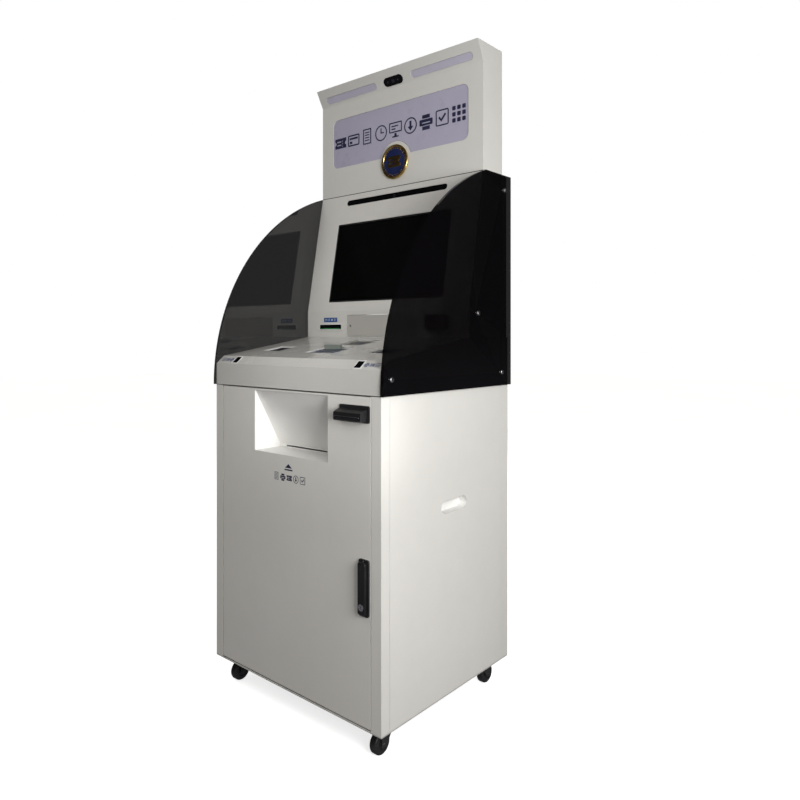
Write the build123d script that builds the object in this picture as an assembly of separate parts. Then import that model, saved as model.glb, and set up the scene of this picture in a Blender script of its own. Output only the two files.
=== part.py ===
from build123d import *
import math
import os

# Self-service ticket and document terminal on casters.
# Millimetres, +Z up, front towards -Y, +X to the right seen from the front.
# The origin is on the floor, below the middle of the overall box.

# ---- cabinet ---------------------------------------------------------------
CAB_W = 600.0            # cabinet, table, console and header share this width
CAB_D = 506.0            # cabinet depth
CAB_H = 730.0            # cabinet height, casters left out
CASTER_H = 68.0          # floor to the underside of the base
SHEET = 1.5              # folded steel sheet
BASE_T = 3.0             # base plate
POST_FRONT = 30.0        # corner post, width of the face at the front or back
POST_SIDE = 27.0         # corner post, width of the face at the side
POST_LIP = 20.0          # depth of the post's lip beside a door
JOINT_GAP = 0.5          # gap between neighbouring sheets
GRIP_L, GRIP_H = 105.0, 30.0   # recessed side grip
GRIP_Y, GRIP_Z = 264.0, 519.0  # its centre, from the front and from the floor
GRIP_DEPTH = 26.0
SHELF_Z = 330.0          # top of the equipment shelf

# ---- doors -----------------------------------------------------------------
DOOR_T = 18.0            # depth of a door's folded edge
DOOR_GAP = 2.5           # gap at the hinge side
DOOR_END_GAP = 1.5       # gap at the latch side
DOOR_LIFT = 6.5          # door bottom above the cabinet's bottom edge
DOOR_DROP = 2.5          # door top below the table
PIVOT_IN = 5.0           # hinge pin, from the door's side and outer face
PIVOT_R = 2.5
PIVOT_FIT = 0.08         # radial clearance of the hinge pins
REAR_SILL_H = 62.0       # fixed sill below the rear door

# ---- document outlet and receipt slot in the front door ---------------------
OUTLET_W = 268.0
OUTLET_H, OUTLET_DROP = 153.0, 7.0    # height, and its top below the table
OUTLET_DEPTH = 82.0
OUTLET_FOOT = 9.0        # upright foot below the sloping back
FEED_H = 3.5             # feed slot in that foot
SLOT_W, SLOT_H = 92.0, 38.0
SLOT_DROP = 41.0         # centre of the receipt slot's plate, below the table
SLOT_PLATE_T = 3.0
NOSE_W, NOSE_OUT = 84.0, 22.0
NOSE_FACE, NOSE_ROOT = 19.0, 28.0      # height of the nose at its front and at the plate
MOUTH_W, MOUTH_H = 80.0, 3.0
PRINTER_D = 84.0         # receipt printer behind the slot
ROLL_R = 22.0
PLATEN_R = 5.0

# ---- swing handle ------------------------------------------------------------
HANDLE_Z = 379.5
HANDLE_W, HANDLE_H = 30.0, 124.0
HANDLE_PLATE_T = 4.0
LEVER_T = 8.0
SPINDLE_UP = 41.0        # spindle above the handle's centre
CYLINDER_DOWN = 40.0     # key cylinder below the handle's centre
SPINDLE_R = 6.0
TURN_FIT = 0.08

# ---- table -------------------------------------------------------------------
APRON_H = 57.0
BEVEL_RUN, BEVEL_RISE = 23.5, 19.5
TABLE_SLOPE = 9.3        # degrees, rising towards the screen
CONSOLE_FRONT = 328.0    # console's foot, from the cabinet's front
WELL_SIDE = 68.0         # two outer reader wells
WELL_STEP = CONSOLE_FRONT / 328   # the wells share out the depth of the table
WELL_X, WELL_Y = 200.0, 137.0 * WELL_STEP
CARD_WELL_W, CARD_WELL_D, CARD_WELL_Y = 110.0, 84.0 * WELL_STEP, 133.0 * WELL_STEP
REAR_WELL_W, REAR_WELL_D, REAR_WELL_Y = 90.0, 80.0 * WELL_STEP, 245.0 * WELL_STEP
WELL_DEPTH = 6.0
WINDOW_T = 2.0
BEVEL_SLOT_W, BEVEL_SLOT_L, BEVEL_SLOT_X = 19.0, 22.0, 224.0

# ---- console -------------------------------------------------------------------
KNEE_UP = 76.5           # height of the console's vertical foot
CONSOLE_UP = 429.5       # console height above the table's rear edge
CONSOLE_TILT = 10.0      # degrees, screen leaning back
CONSOLE_BACK = 500.0     # rear face, from the cabinet's front
GLASS_W, GLASS_H, GLASS_T = 426.0, 240.0, 4.0
GLASS_UP = 147.0         # glass centre, from the knee along the slope
DISPLAY_T = 34.0
BAR_W, BAR_H, BAR_UP = 376.0, 17.0, 332.0
CARD_X, CARD_UP = 200.0, 30.0
CARD_W, CARD_H = 90.0, 14.0
READER_D = 110.0
INSET_W, INSET_H = 263.0, 62.0
SCANNER_W, SCANNER_H, SCANNER_T = 68.0, 40.0, 14.0
FAN_R, FAN_T, FAN_UP = 38.0, 25.0, 230.0

# ---- header ----------------------------------------------------------------------
HEADER_FACE_H = 283.5
HEADER_D = 88.0
VISOR_RISE, VISOR_RUN = 47.5, 25.4
SIGN_W, SIGN_H, SIGN_UP, SIGN_R = 506.0, 148.0, 162.0, 20.0
SIGN_T = 3.0
BADGE_R, BADGE_UP, BADGE_T = 49.0, 70.0, 7.0
BADGE_MARGIN = 10.0      # bare sheet round the badge, inside the sign
LAMP_W, LAMP_H, LAMP_X, LAMP_UP = 208.0, 20.0, 169.0, 18.0
EYE_W, EYE_H = 70.0, 25.0

# ---- smoked side panels ------------------------------------------------------------
PANEL_T = 8.0
PANEL_OVER = 4.0         # how far they pass the cabinet at the front and back
SCREW_R, SCREW_HEAD_R, SCREW_HEAD_T = 2.5, 6.0, 4.0
PANEL_SCREWS = ((23.0, 36.0), (464.0, 35.0), (354.0, 188.0), (478.0, 517.0))

# ---- casters ---------------------------------------------------------------------------
CASTER_X, CASTER_Y = 45.0, 62.0    # pivots, in from the sides and from front and back
WHEEL_R, WHEEL_W = 25.0, 20.0
TRAIL = 18.0
FORK_GAP = 1.5
FORK_T = 3.0
PLATE_SIDE, PLATE_T = 46.0, 3.0
AXLE_R, AXLE_FIT = 3.0, 0.08
RACE_R, RACE_H = 15.0, 6.0
PEDAL_OUT = 12.0         # brake pedal's pin, behind the axle
PEDAL_R, PEDAL_PIN_R = 3.0, 1.5

# ---- rear lock, power inlet and gland -----------------------------------------------
REAR_OUT = 10.0          # rear lock knob beyond the cabinet's back
INLET_W, INLET_H = 48.0, 58.0
INLET_X, GLAND_X = 190.0, -190.0
GLAND_BORE_R, GLAND_R, GLAND_L = 6.0, 11.0, 26.0
ANCHOR_X, ANCHOR_Y, ANCHOR_R = 380.0, 300.0, 6.5

# ---- levels and planes worked out from the sizes above --------------------------------
HALF = CAB_W / 2
FRONT = -CAB_D / 2 + (NOSE_OUT - REAR_OUT) / 2
BACK = FRONT + CAB_D
BASE_Z = CASTER_H
TABLE_Z = BASE_Z + CAB_H
BEVEL_Z = TABLE_Z + APRON_H
BEVEL_TOP = BEVEL_Z + BEVEL_RISE
SLOPE = math.radians(TABLE_SLOPE)
FOOT_Z = BEVEL_TOP + (CONSOLE_FRONT - BEVEL_RUN) * math.tan(SLOPE)
KNEE_Z = FOOT_Z + KNEE_UP
HEADER_Z = FOOT_Z + CONSOLE_UP
TILT = math.radians(CONSOLE_TILT)
FACE_Y = FRONT + CONSOLE_FRONT + (HEADER_Z - KNEE_Z) * math.tan(TILT)
FOLD_Z = HEADER_Z + HEADER_FACE_H
TOP_Z = FOLD_Z + VISOR_RISE
FOOT_Y = FRONT + CONSOLE_FRONT
CONSOLE_REAR = FRONT + CONSOLE_BACK
HEADER_REAR = FACE_Y + HEADER_D
DOOR_Z0 = BASE_Z + DOOR_LIFT
DOOR_Z1 = TABLE_Z - DOOR_DROP
REAR_DOOR_Z0 = BASE_Z + REAR_SILL_H + DOOR_GAP
DOOR_X0 = -HALF + POST_FRONT + DOOR_GAP
DOOR_X1 = HALF - POST_FRONT - DOOR_END_GAP
PIVOT_X = DOOR_X0 + PIVOT_IN
OUTLET_TOP = TABLE_Z - OUTLET_DROP
OUTLET_BOTTOM = OUTLET_TOP - OUTLET_H
SLOT_X, SLOT_Z = DOOR_X1 - SLOT_W / 2 - 1.5, TABLE_Z - SLOT_DROP
HANDLE_X = DOOR_X1 - HANDLE_W / 2 - 2.5
SPINDLE_Z = HANDLE_Z + SPINDLE_UP
CYLINDER_Z = HANDLE_Z - CYLINDER_DOWN
LEVER_Y = FRONT - HANDLE_PLATE_T - 0.3
LIFT_Y = LEVER_Y - LEVER_T / 2                       # axis that the lever lifts about
LIFT_Z = HANDLE_Z + HANDLE_H / 2 - 5 - LEVER_T / 2
ROLL_Y = FRONT + PRINTER_D - ROLL_R - 6
ROLL_Z = SLOT_Z - 30
PLATEN_Y, PLATEN_Z = FRONT + 16, SLOT_Z - 22
RECEIPT_W = 80.0
CASTER_PIVOTS = {
    "front_left": (-HALF + CASTER_X, FRONT + CASTER_Y, -1),
    "front_right": (HALF - CASTER_X, FRONT + CASTER_Y, -1),
    "rear_left": (-HALF + CASTER_X, BACK - CASTER_Y, 1),
    "rear_right": (HALF - CASTER_X, BACK - CASTER_Y, 1),
}


def block(x0, x1, y0, y1, z0, z1):
    """A box between two corners."""
    centre = ((x0 + x1) / 2, (y0 + y1) / 2, (z0 + z1) / 2)
    return Pos(*centre) * Box(x1 - x0, y1 - y0, z1 - z0)


def along_x(outline, x0, x1):
    """An outline in Y and Z, carried from x0 to x1."""
    plane = Plane(origin=(x0, 0, 0), x_dir=(0, 1, 0), z_dir=(1, 0, 0))
    return extrude(plane * outline, x1 - x0, dir=(1, 0, 0))


def rod_x(radius, x0, x1, y, z):
    """A round bar along X."""
    return Pos((x0 + x1) / 2, y, z) * Rot(0, 90, 0) * Cylinder(radius, x1 - x0)


def rod_y(radius, y0, y1, x, z):
    """A round bar along Y."""
    return Pos(x, (y0 + y1) / 2, z) * Rot(90, 0, 0) * Cylinder(radius, y1 - y0)


def rod_z(radius, z0, z1, x, y):
    """A round bar along Z."""
    return Pos(x, y, (z0 + z1) / 2) * Cylinder(radius, z1 - z0)


def on_face(plane, sketch, depth0, depth1):
    """A sketch on a plane, between two depths behind it (negative stands proud)."""
    return extrude(plane.offset(-depth1) * sketch, depth1 - depth0)


def front_plane(y, z):
    """Plane facing the user, with its origin at (0, y, z)."""
    return Plane(origin=(0, y, z), x_dir=(1, 0, 0), z_dir=(0, -1, 0))


def screen_plane():
    """Outer face of the leaning screen panel, origin at the knee."""
    return Plane(origin=(0, FOOT_Y, KNEE_Z), x_dir=(1, 0, 0), z_dir=(0, -math.cos(TILT), math.sin(TILT)))


def table_plane():
    """Outer face of the sloping table, origin at the cabinet's front."""
    z = BEVEL_TOP - BEVEL_RUN * math.tan(SLOPE)
    return Plane(origin=(0, FRONT, z), x_dir=(1, 0, 0), z_dir=(0, -math.sin(SLOPE), math.cos(SLOPE)))


def bevel_plane():
    """Outer face of the bevel along the table's front, origin halfway up."""
    origin = (0, FRONT + BEVEL_RUN / 2, BEVEL_Z + BEVEL_RISE / 2)
    return Plane(origin=origin, x_dir=(1, 0, 0), z_dir=(0, -BEVEL_RISE, BEVEL_RUN))


def visor_plane():
    """Outer face of the visor, origin on its lower fold."""
    return Plane(origin=(0, FACE_Y, FOLD_Z), x_dir=(1, 0, 0), z_dir=(0, -VISOR_RISE, -VISOR_RUN))


def open_case(x0, x1, y0, y1, z0, z1, wall):
    """A sheet case, open at the back."""
    hollow = block(x0 + wall, x1 - wall, y0 + wall, y1 + wall, z0 + wall, z1 - wall)
    return block(x0, x1, y0, y1, z0, z1) - hollow


# ---- cabinet -------------------------------------------------------------------------

def base_plate():
    plate = block(-HALF, HALF, FRONT, BACK, BASE_Z, BASE_Z + BASE_T)
    middle = (FRONT + BACK) / 2
    for sx in (-1, 1):
        for sy in (-1, 1):
            plate -= rod_z(ANCHOR_R, BASE_Z - 1, BASE_Z + BASE_T + 1, sx * ANCHOR_X / 2, middle + sy * ANCHOR_Y / 2)
    return plate


def corner_post(sx, sy):
    """Folded post: outer face, side face and a lip beside the door."""
    z0, z1 = BASE_Z + BASE_T, TABLE_Z
    edge = FRONT if sy < 0 else BACK
    inner = -sy
    xs = sorted((sx * HALF, sx * (HALF - POST_FRONT)))
    face = block(xs[0], xs[1], *sorted((edge, edge + inner * SHEET)), z0, z1)
    xs = sorted((sx * HALF, sx * (HALF - SHEET)))
    side = block(xs[0], xs[1], *sorted((edge, edge + inner * POST_SIDE)), z0, z1)
    xs = sorted((sx * (HALF - POST_FRONT), sx * (HALF - POST_FRONT + SHEET)))
    lip = block(xs[0], xs[1], *sorted((edge, edge + inner * POST_LIP)), z0, z1)
    return face + side + lip


def rear_sill():
    """Fixed sill under the rear door, with the inlet and gland openings."""
    z0, z1 = BASE_Z + BASE_T, BASE_Z + REAR_SILL_H
    x = HALF - POST_FRONT - JOINT_GAP
    sill = block(-x, x, BACK - SHEET, BACK, z0, z1)
    middle = (z0 + z1) / 2
    sill -= block(INLET_X - INLET_W / 2 + 3, INLET_X + INLET_W / 2 - 3, BACK - 9, BACK + 9,
                  middle - INLET_H / 2 + 5, middle + INLET_H / 2 - 5)
    return sill - rod_y(GLAND_R - 3, BACK - 9, BACK + 9, GLAND_X, middle)


def cabinet_frame():
    posts = [corner_post(sx, sy) for sx in (-1, 1) for sy in (-1, 1)]
    x = HALF - SHEET - JOINT_GAP
    rails = [block(*sorted((sx * x, sx * (x - 20))), FRONT + POST_SIDE, BACK - POST_SIDE, TABLE_Z - 20, TABLE_Z)
             for sx in (-1, 1)]
    return Compound(children=posts + rails + [rear_sill()])


def grip_outline(grow=0.0):
    """The grip's rounded slot, in Y and Z."""
    return SlotOverall(GRIP_L + 2 * grow, GRIP_H + 2 * grow)


def grip_plane(sx):
    """Outer side face at the grip's centre."""
    return Plane(origin=(sx * HALF, FRONT + GRIP_Y, GRIP_Z), x_dir=(0, 1, 0), z_dir=(sx, 0, 0))


def side_panels():
    panels = []
    for sx in (-1, 1):
        xs = sorted((sx * HALF, sx * (HALF - SHEET)))
        panel = block(xs[0], xs[1], FRONT + POST_SIDE + JOINT_GAP, BACK - POST_SIDE - JOINT_GAP,
                      BASE_Z + BASE_T, TABLE_Z)
        panels.append(panel - on_face(grip_plane(sx), grip_outline(), -1, SHEET + 1))
    return Compound(children=panels)


def side_grips():
    """Cups behind the side slots, with a floor to pull against."""
    cups = []
    for sx in (-1, 1):
        cup = on_face(grip_plane(sx), grip_outline(4), SHEET, GRIP_DEPTH)
        cups.append(cup - on_face(grip_plane(sx), grip_outline(), SHEET - 1, GRIP_DEPTH - 2))
    return Compound(children=cups)


def equipment_shelf():
    x = HALF - SHEET - JOINT_GAP
    y0, y1 = FRONT + 60, BACK - 40
    tray = block(-x, x, y0, y1, SHELF_Z - SHEET, SHELF_Z)
    for edge in (y0, y1 - SHEET):
        tray += block(-x, x, edge, edge + SHEET, SHELF_Z - 20, SHELF_Z)
    return tray


def computer():
    """Small desktop computer lying on the shelf."""
    return open_case(-230, -10, FRONT + 120, FRONT + 420, SHELF_Z, SHELF_Z + 95, 1.5)


def power_supply():
    """Switching supply on the base, beside the inlet."""
    return open_case(90, 230, BACK - 250, BACK - 90, BASE_Z + BASE_T, BASE_Z + BASE_T + 60, 1.5)


def document_printer():
    """Sheet printer behind the outlet, on its own two side rails."""
    y0, y1 = FRONT + OUTLET_DEPTH + 16, BACK - 40
    case = open_case(-200, 200, y0, y1, 560, 740, 2.5)
    case -= block(-108, 108, y0 - 5, y0 + 10, OUTLET_BOTTOM, OUTLET_BOTTOM + 14)
    x = HALF - SHEET - JOINT_GAP
    for sx in (-1, 1):
        case += block(*sorted((sx * 200, sx * x)), y0 + 20, y1 - 20, 560, 563)
    return case


# ---- table ---------------------------------------------------------------------------

def well_places():
    """Centre, width and depth of each reader well on the table plane."""
    along = 1 / math.cos(SLOPE)
    return [
        (-WELL_X, WELL_Y * along, WELL_SIDE, WELL_SIDE),
        (WELL_X, WELL_Y * along, WELL_SIDE, WELL_SIDE),
        (0.0, CARD_WELL_Y * along, CARD_WELL_W, CARD_WELL_D),
        (0.0, REAR_WELL_Y * along, REAR_WELL_W, REAR_WELL_D),
    ]


def screw_holes():
    """Bars through the side sheets where the smoked panels are screwed on."""
    radius = SCREW_R + 0.2
    return [rod_x(radius, -HALF - 20, HALF + 20, FRONT + y, TABLE_Z + up) for y, up in PANEL_SCREWS]


def table_top():
    outline = Polygon((FRONT, TABLE_Z), (FRONT, BEVEL_Z), (FRONT + BEVEL_RUN, BEVEL_TOP),
                      (FOOT_Y, FOOT_Z), (BACK, FOOT_Z), (BACK, TABLE_Z), align=None)
    inner = offset(outline, amount=-SHEET, kind=Kind.INTERSECTION)
    shell = along_x(outline, -HALF, HALF) - along_x(inner, -HALF + SHEET, HALF - SHEET)
    shell -= block(-HALF + SHEET, HALF - SHEET, FRONT + SHEET, BACK - SHEET, TABLE_Z - 5, TABLE_Z + 5)
    for x, y, w, d in well_places():
        shell -= on_face(table_plane(), Pos(x, y) * RectangleRounded(w, d, 4), -5, 5)
    for sx in (-1, 1):
        slot = Pos(sx * BEVEL_SLOT_X, 0) * Rectangle(BEVEL_SLOT_W, BEVEL_SLOT_L)
        shell -= on_face(bevel_plane(), slot, -5, 4)
    for hole in screw_holes()[:2]:
        shell -= hole
    return shell


def reader_wells():
    """Pressed cups hanging in the table's four openings."""
    cups = []
    for x, y, w, d in well_places():
        cup = on_face(table_plane(), Pos(x, y) * RectangleRounded(w + 8, d + 8, 8), SHEET, WELL_DEPTH + 3)
        cups.append(cup - on_face(table_plane(), Pos(x, y) * RectangleRounded(w, d, 4), SHEET - 1, WELL_DEPTH))
    return Compound(children=cups)


def reader_windows():
    """Dark windows lying on the floor of each well."""
    return Compound(children=[
        on_face(table_plane(), Pos(x, y) * RectangleRounded(w - 1, d - 1, 3.5), WELL_DEPTH - WINDOW_T, WELL_DEPTH)
        for x, y, w, d in well_places()])


def card_stop():
    """Bar that a card is pushed against, at the back of the card well."""
    x, y, w, d = well_places()[2]
    place = Pos(-22, y + d / 2 - 7) * RectangleRounded(60, 8, 2)
    return on_face(table_plane(), place, -7, WELL_DEPTH - WINDOW_T)


def bevel_windows():
    """Black sensor windows set in the bevel."""
    windows = []
    for sx in (-1, 1):
        pane = Pos(sx * BEVEL_SLOT_X, 0) * Rectangle(BEVEL_SLOT_W - 0.4, BEVEL_SLOT_L - 0.4)
        windows.append(on_face(bevel_plane(), pane, -0.6, 3))
    return Compound(children=windows)


# ---- console --------------------------------------------------------------------------

def monitor_panel():
    """Folded front: upright foot, then the leaning screen panel."""
    outer = [(FOOT_Y, FOOT_Z), (FOOT_Y, KNEE_Z), (FACE_Y, HEADER_Z)]
    inner = [(y + 2 * SHEET, z) for y, z in reversed(outer)]
    panel = along_x(Polygon(*outer, *inner, align=None), -HALF, HALF)
    plane = screen_plane()
    panel -= on_face(plane, Pos(0, GLASS_UP) * RectangleRounded(GLASS_W, GLASS_H, 2), -5, 9)
    panel -= on_face(plane, Pos(0, BAR_UP) * SlotOverall(BAR_W, BAR_H), -5, 9)
    foot = front_plane(FOOT_Y, FOOT_Z)
    panel -= on_face(foot, Pos(-CARD_X, CARD_UP) * Rectangle(CARD_W, CARD_H), -5, 9)
    panel -= on_face(foot, Pos(0, INSET_H / 2 + 2) * Rectangle(INSET_W, INSET_H), -5, 9)
    panel -= on_face(foot, Pos(CARD_X, 39) * Rectangle(SCANNER_W - 8, SCANNER_H - 8), -5, 9)
    return panel


def touch_glass():
    pane = Pos(0, GLASS_UP) * RectangleRounded(GLASS_W - 0.8, GLASS_H - 0.8, 2)
    return on_face(screen_plane(), pane, 1.0, 1.0 + GLASS_T)


def display_module():
    """Screen unit behind the glass, with its mounting ears."""
    body = Pos(0, GLASS_UP) * Rectangle(GLASS_W + 8, GLASS_H + 8)
    unit = on_face(screen_plane(), body, 1.0 + GLASS_T, 1.0 + GLASS_T + DISPLAY_T)
    ears = Pos(0, GLASS_UP) * Rectangle(GLASS_W + 40, 30)
    return unit + on_face(screen_plane(), ears, 1.0 + GLASS_T, 4.0 + GLASS_T)


def camera_windows():
    """Black windows: the long one over the screen and the short one in the visor."""
    long_one = Pos(0, BAR_UP) * SlotOverall(BAR_W - 0.6, BAR_H - 0.6)
    short_one = Pos(0, LAMP_UP) * SlotOverall(EYE_W - 0.6, EYE_H - 0.6)
    return Compound(children=[
        on_face(screen_plane(), long_one, 0.5, 4.5),
        on_face(visor_plane(), short_one, -0.8, 3.0)])


def card_bezel():
    """Moulded mouth of the card reader."""
    foot = front_plane(FOOT_Y, FOOT_Z)
    frame = Pos(-CARD_X, CARD_UP) * RectangleRounded(CARD_W + 10, CARD_H + 8, 4)
    bezel = on_face(foot, frame, -2.0, 0.0)
    bezel += on_face(foot, Pos(-CARD_X, CARD_UP) * Rectangle(CARD_W - 0.6, CARD_H - 0.6), -1.0, 8.0)
    return bezel - on_face(foot, Pos(-CARD_X, CARD_UP) * Rectangle(CARD_W - 14, 2.4), -3.0, 9.0)


def card_reader():
    """Motor card reader behind its mouth."""
    z = FOOT_Z + CARD_UP
    y0 = FOOT_Y + 8.0
    body = block(-CARD_X - 48, -CARD_X + 48, y0, y0 + READER_D, z - 22, z + 22)
    return body - block(-CARD_X - 39, -CARD_X + 39, y0 - 1, y0 + 70, z - 1.2, z + 1.2)


def inset_panel():
    """Removable cover between the card mouth and the code scanner."""
    cover = Pos(0, INSET_H / 2 + 2) * Rectangle(INSET_W - 1.6, INSET_H - 1.6)
    return on_face(front_plane(FOOT_Y, FOOT_Z), cover, 0.8, 0.8 + SHEET)


def code_scanner():
    """Black code scanner set in the foot, on the right."""
    foot = front_plane(FOOT_Y, FOOT_Z)
    hood = on_face(foot, Pos(CARD_X, 39) * RectangleRounded(SCANNER_W, SCANNER_H, 5), -SCANNER_T, 0)
    hood -= on_face(foot, Pos(CARD_X, 39) * RectangleRounded(SCANNER_W - 14, SCANNER_H - 14, 3), -SCANNER_T - 1, -5)
    return hood + on_face(foot, Pos(CARD_X, 39) * Rectangle(SCANNER_W - 9, SCANNER_H - 9), 0, 40)


def console_sides():
    """Two side sheets and the top sheet of the console."""
    y = 2 * SHEET
    outline = Polygon((FOOT_Y + y, FOOT_Z), (FOOT_Y + y, KNEE_Z), (FACE_Y + y, HEADER_Z),
                      (CONSOLE_REAR - SHEET, HEADER_Z), (CONSOLE_REAR - SHEET, FOOT_Z), align=None)
    sheets = []
    for x0 in (-HALF, HALF - SHEET):
        sheet = along_x(outline, x0, x0 + SHEET)
        for hole in screw_holes()[2:]:
            sheet -= hole
        sheets.append(sheet)
    top = block(-HALF + SHEET, HALF - SHEET, FACE_Y + y, CONSOLE_REAR - SHEET, HEADER_Z - SHEET, HEADER_Z)
    return Compound(children=sheets + [top])


def vent_slots(x, y, z, count, pitch, length):
    """A row of level slots through a rear sheet."""
    slots = [extrude(Plane(origin=(x, y - 10, z + i * pitch), x_dir=(1, 0, 0), z_dir=(0, 1, 0))
                     * SlotOverall(length, 5), 20) for i in range(count)]
    return slots


def rear_covers():
    """Lift-off back covers of the console and the header."""
    console = block(-HALF, HALF, CONSOLE_REAR - SHEET, CONSOLE_REAR, FOOT_Z, HEADER_Z)
    console -= rod_y(FAN_R, CONSOLE_REAR - 9, CONSOLE_REAR + 9, 0, FOOT_Z + FAN_UP)
    for radius in (FAN_R - 13, FAN_R - 26):
        ring = rod_y(radius + 1.2, CONSOLE_REAR - SHEET, CONSOLE_REAR, 0, FOOT_Z + FAN_UP)
        console += ring - rod_y(radius - 1.2, CONSOLE_REAR - 9, CONSOLE_REAR + 9, 0, FOOT_Z + FAN_UP)
    for turn in (45, 135):
        bar = Pos(0, CONSOLE_REAR - SHEET / 2, FOOT_Z + FAN_UP) * Rot(0, turn, 0) * Box(2 * FAN_R + 2, SHEET, 3)
        console += bar
    for x in (-170, 170):
        for slot in vent_slots(x, CONSOLE_REAR, FOOT_Z + 60, 6, 12, 90):
            console -= slot
    header = block(-HALF, HALF, HEADER_REAR - SHEET, HEADER_REAR, HEADER_Z, TOP_Z)
    for x in (-150, 150):
        for slot in vent_slots(x, HEADER_REAR, HEADER_Z + 210, 4, 12, 110):
            header -= slot
    return Compound(children=[console, header])


def fan_frame():
    """Square fan body on the console's back cover."""
    y1 = CONSOLE_REAR - SHEET
    z = FOOT_Z + FAN_UP
    side = FAN_R + 2
    frame = block(-side, side, y1 - FAN_T, y1, z - side, z + side) - rod_y(FAN_R, y1 - FAN_T - 1, y1 + 1, 0, z)
    frame += rod_y(13, y1 - FAN_T, y1 - FAN_T + 3, 0, z)
    for turn in (0, 90):
        arm = Pos(0, y1 - FAN_T + 1.5, z) * Rot(0, turn, 0) * Box(2 * FAN_R + 1, 3, 4)
        frame += arm
    return frame


def fan_rotor():
    """Hub and seven pitched blades."""
    y0 = CONSOLE_REAR - SHEET - FAN_T + 3.6
    y1 = CONSOLE_REAR - SHEET - 1.5
    z = FOOT_Z + FAN_UP
    rotor = rod_y(13, y0, y1, 0, z)
    reach = FAN_R - 1.5
    for i in range(7):
        blade = Pos(0, (y0 + y1) / 2, z) * Rot(0, i * 360 / 7, 0) * Pos((12 + reach) / 2, 0, 0)
        rotor += blade * Rot(35, 0, 0) * Box(reach - 12, 1.4, 16)
    return rotor & rod_y(reach, y0, y1, 0, z)


# ---- header -----------------------------------------------------------------------------

def sign_outline(grow=0.0):
    """Sign opening: a rounded rectangle with a rounded bite for the badge."""
    field = RectangleRounded(SIGN_W + 2 * grow, SIGN_H + 2 * grow, SIGN_R)
    bite_r = BADGE_R + BADGE_MARGIN - grow
    bite = Pos(0, BADGE_UP - SIGN_UP) * Circle(bite_r)
    bite += Pos(0, BADGE_UP - SIGN_UP - bite_r) * Rectangle(2 * bite_r, 2 * bite_r)
    return field - bite


def header_shell():
    """Front face, visor, roof, floor and sides, open at the back."""
    outline = Polygon((FACE_Y, HEADER_Z), (FACE_Y, FOLD_Z), (FACE_Y - VISOR_RUN, TOP_Z),
                      (HEADER_REAR - SHEET, TOP_Z), (HEADER_REAR - SHEET, HEADER_Z), align=None)
    inner = offset(outline, amount=-SHEET, kind=Kind.INTERSECTION)
    shell = along_x(outline, -HALF, HALF) - along_x(inner, -HALF + SHEET, HALF - SHEET)
    shell -= block(-HALF + SHEET, HALF - SHEET, HEADER_REAR - 9, HEADER_REAR + 1, HEADER_Z + SHEET, TOP_Z - SHEET)
    face = front_plane(FACE_Y, HEADER_Z)
    shell -= on_face(face, Pos(0, SIGN_UP) * sign_outline(), -5, 5)
    for sx in (-1, 1):
        shell -= on_face(visor_plane(), Pos(sx * LAMP_X, LAMP_UP) * SlotOverall(LAMP_W, LAMP_H), -5, 5)
    return shell - on_face(visor_plane(), Pos(0, LAMP_UP) * SlotOverall(EYE_W, EYE_H), -5, 5)


def sign_panel():
    """Lit acrylic behind the header's face."""
    face = front_plane(FACE_Y, HEADER_Z)
    return on_face(face, Pos(0, SIGN_UP) * sign_outline(6.0), SHEET, SHEET + SIGN_T)


def sign_badge():
    """Round medallion, generic, on the header's face."""
    face = front_plane(FACE_Y, HEADER_Z)
    disc = on_face(face, Pos(0, BADGE_UP) * Circle(BADGE_R), -BADGE_T, 0)
    disc -= on_face(face, Pos(0, BADGE_UP) * Circle(BADGE_R - 8), -BADGE_T - 1, -BADGE_T + 2.5)
    return disc


def lamp_diffusers():
    """Two frosted strips in the visor."""
    return Compound(children=[
        on_face(visor_plane(), Pos(sx * LAMP_X, LAMP_UP) * SlotOverall(LAMP_W - 0.6, LAMP_H - 0.6), 1.0, 4.0)
        for sx in (-1, 1)])


def light_boards():
    """Lamp boards behind the two strips and behind the sign."""
    boards = [on_face(visor_plane(), Pos(sx * LAMP_X, LAMP_UP) * Rectangle(LAMP_W - 4, 15), 6.0, 7.6)
              for sx in (-1, 1)]
    back = on_face(front_plane(FACE_Y, HEADER_Z), Pos(0, SIGN_UP) * Rectangle(SIGN_W, SIGN_H - 8), 30.0, 32.0)
    return Compound(children=boards + [back])


# ---- smoked side panels --------------------------------------------------------------------

def smoked_outline():
    """One arc, upright at the table's edge and ending at the header's face."""
    y0, y1 = FRONT - PANEL_OVER, BACK + PANEL_OVER
    run, rise = FACE_Y - y0, HEADER_Z - TABLE_Z
    radius = (run ** 2 + rise ** 2) / (2 * run)
    half_turn = math.asin(rise / radius) / 2
    middle = (y0 + radius * (1 - math.cos(half_turn)), TABLE_Z + radius * math.sin(half_turn))
    arc = ThreePointArc((y0, TABLE_Z), middle, (FACE_Y, HEADER_Z))
    edges = Polyline((FACE_Y, HEADER_Z), (y1, HEADER_Z), (y1, TABLE_Z), (y0, TABLE_Z))
    return make_face(Curve() + [arc, edges])


def smoked_panels():
    panels = []
    for x0 in (-HALF - PANEL_T, HALF):
        panel = along_x(smoked_outline(), x0, x0 + PANEL_T)
        for hole in screw_holes():
            panel -= hole
        panels.append(panel)
    return Compound(children=panels)


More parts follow.
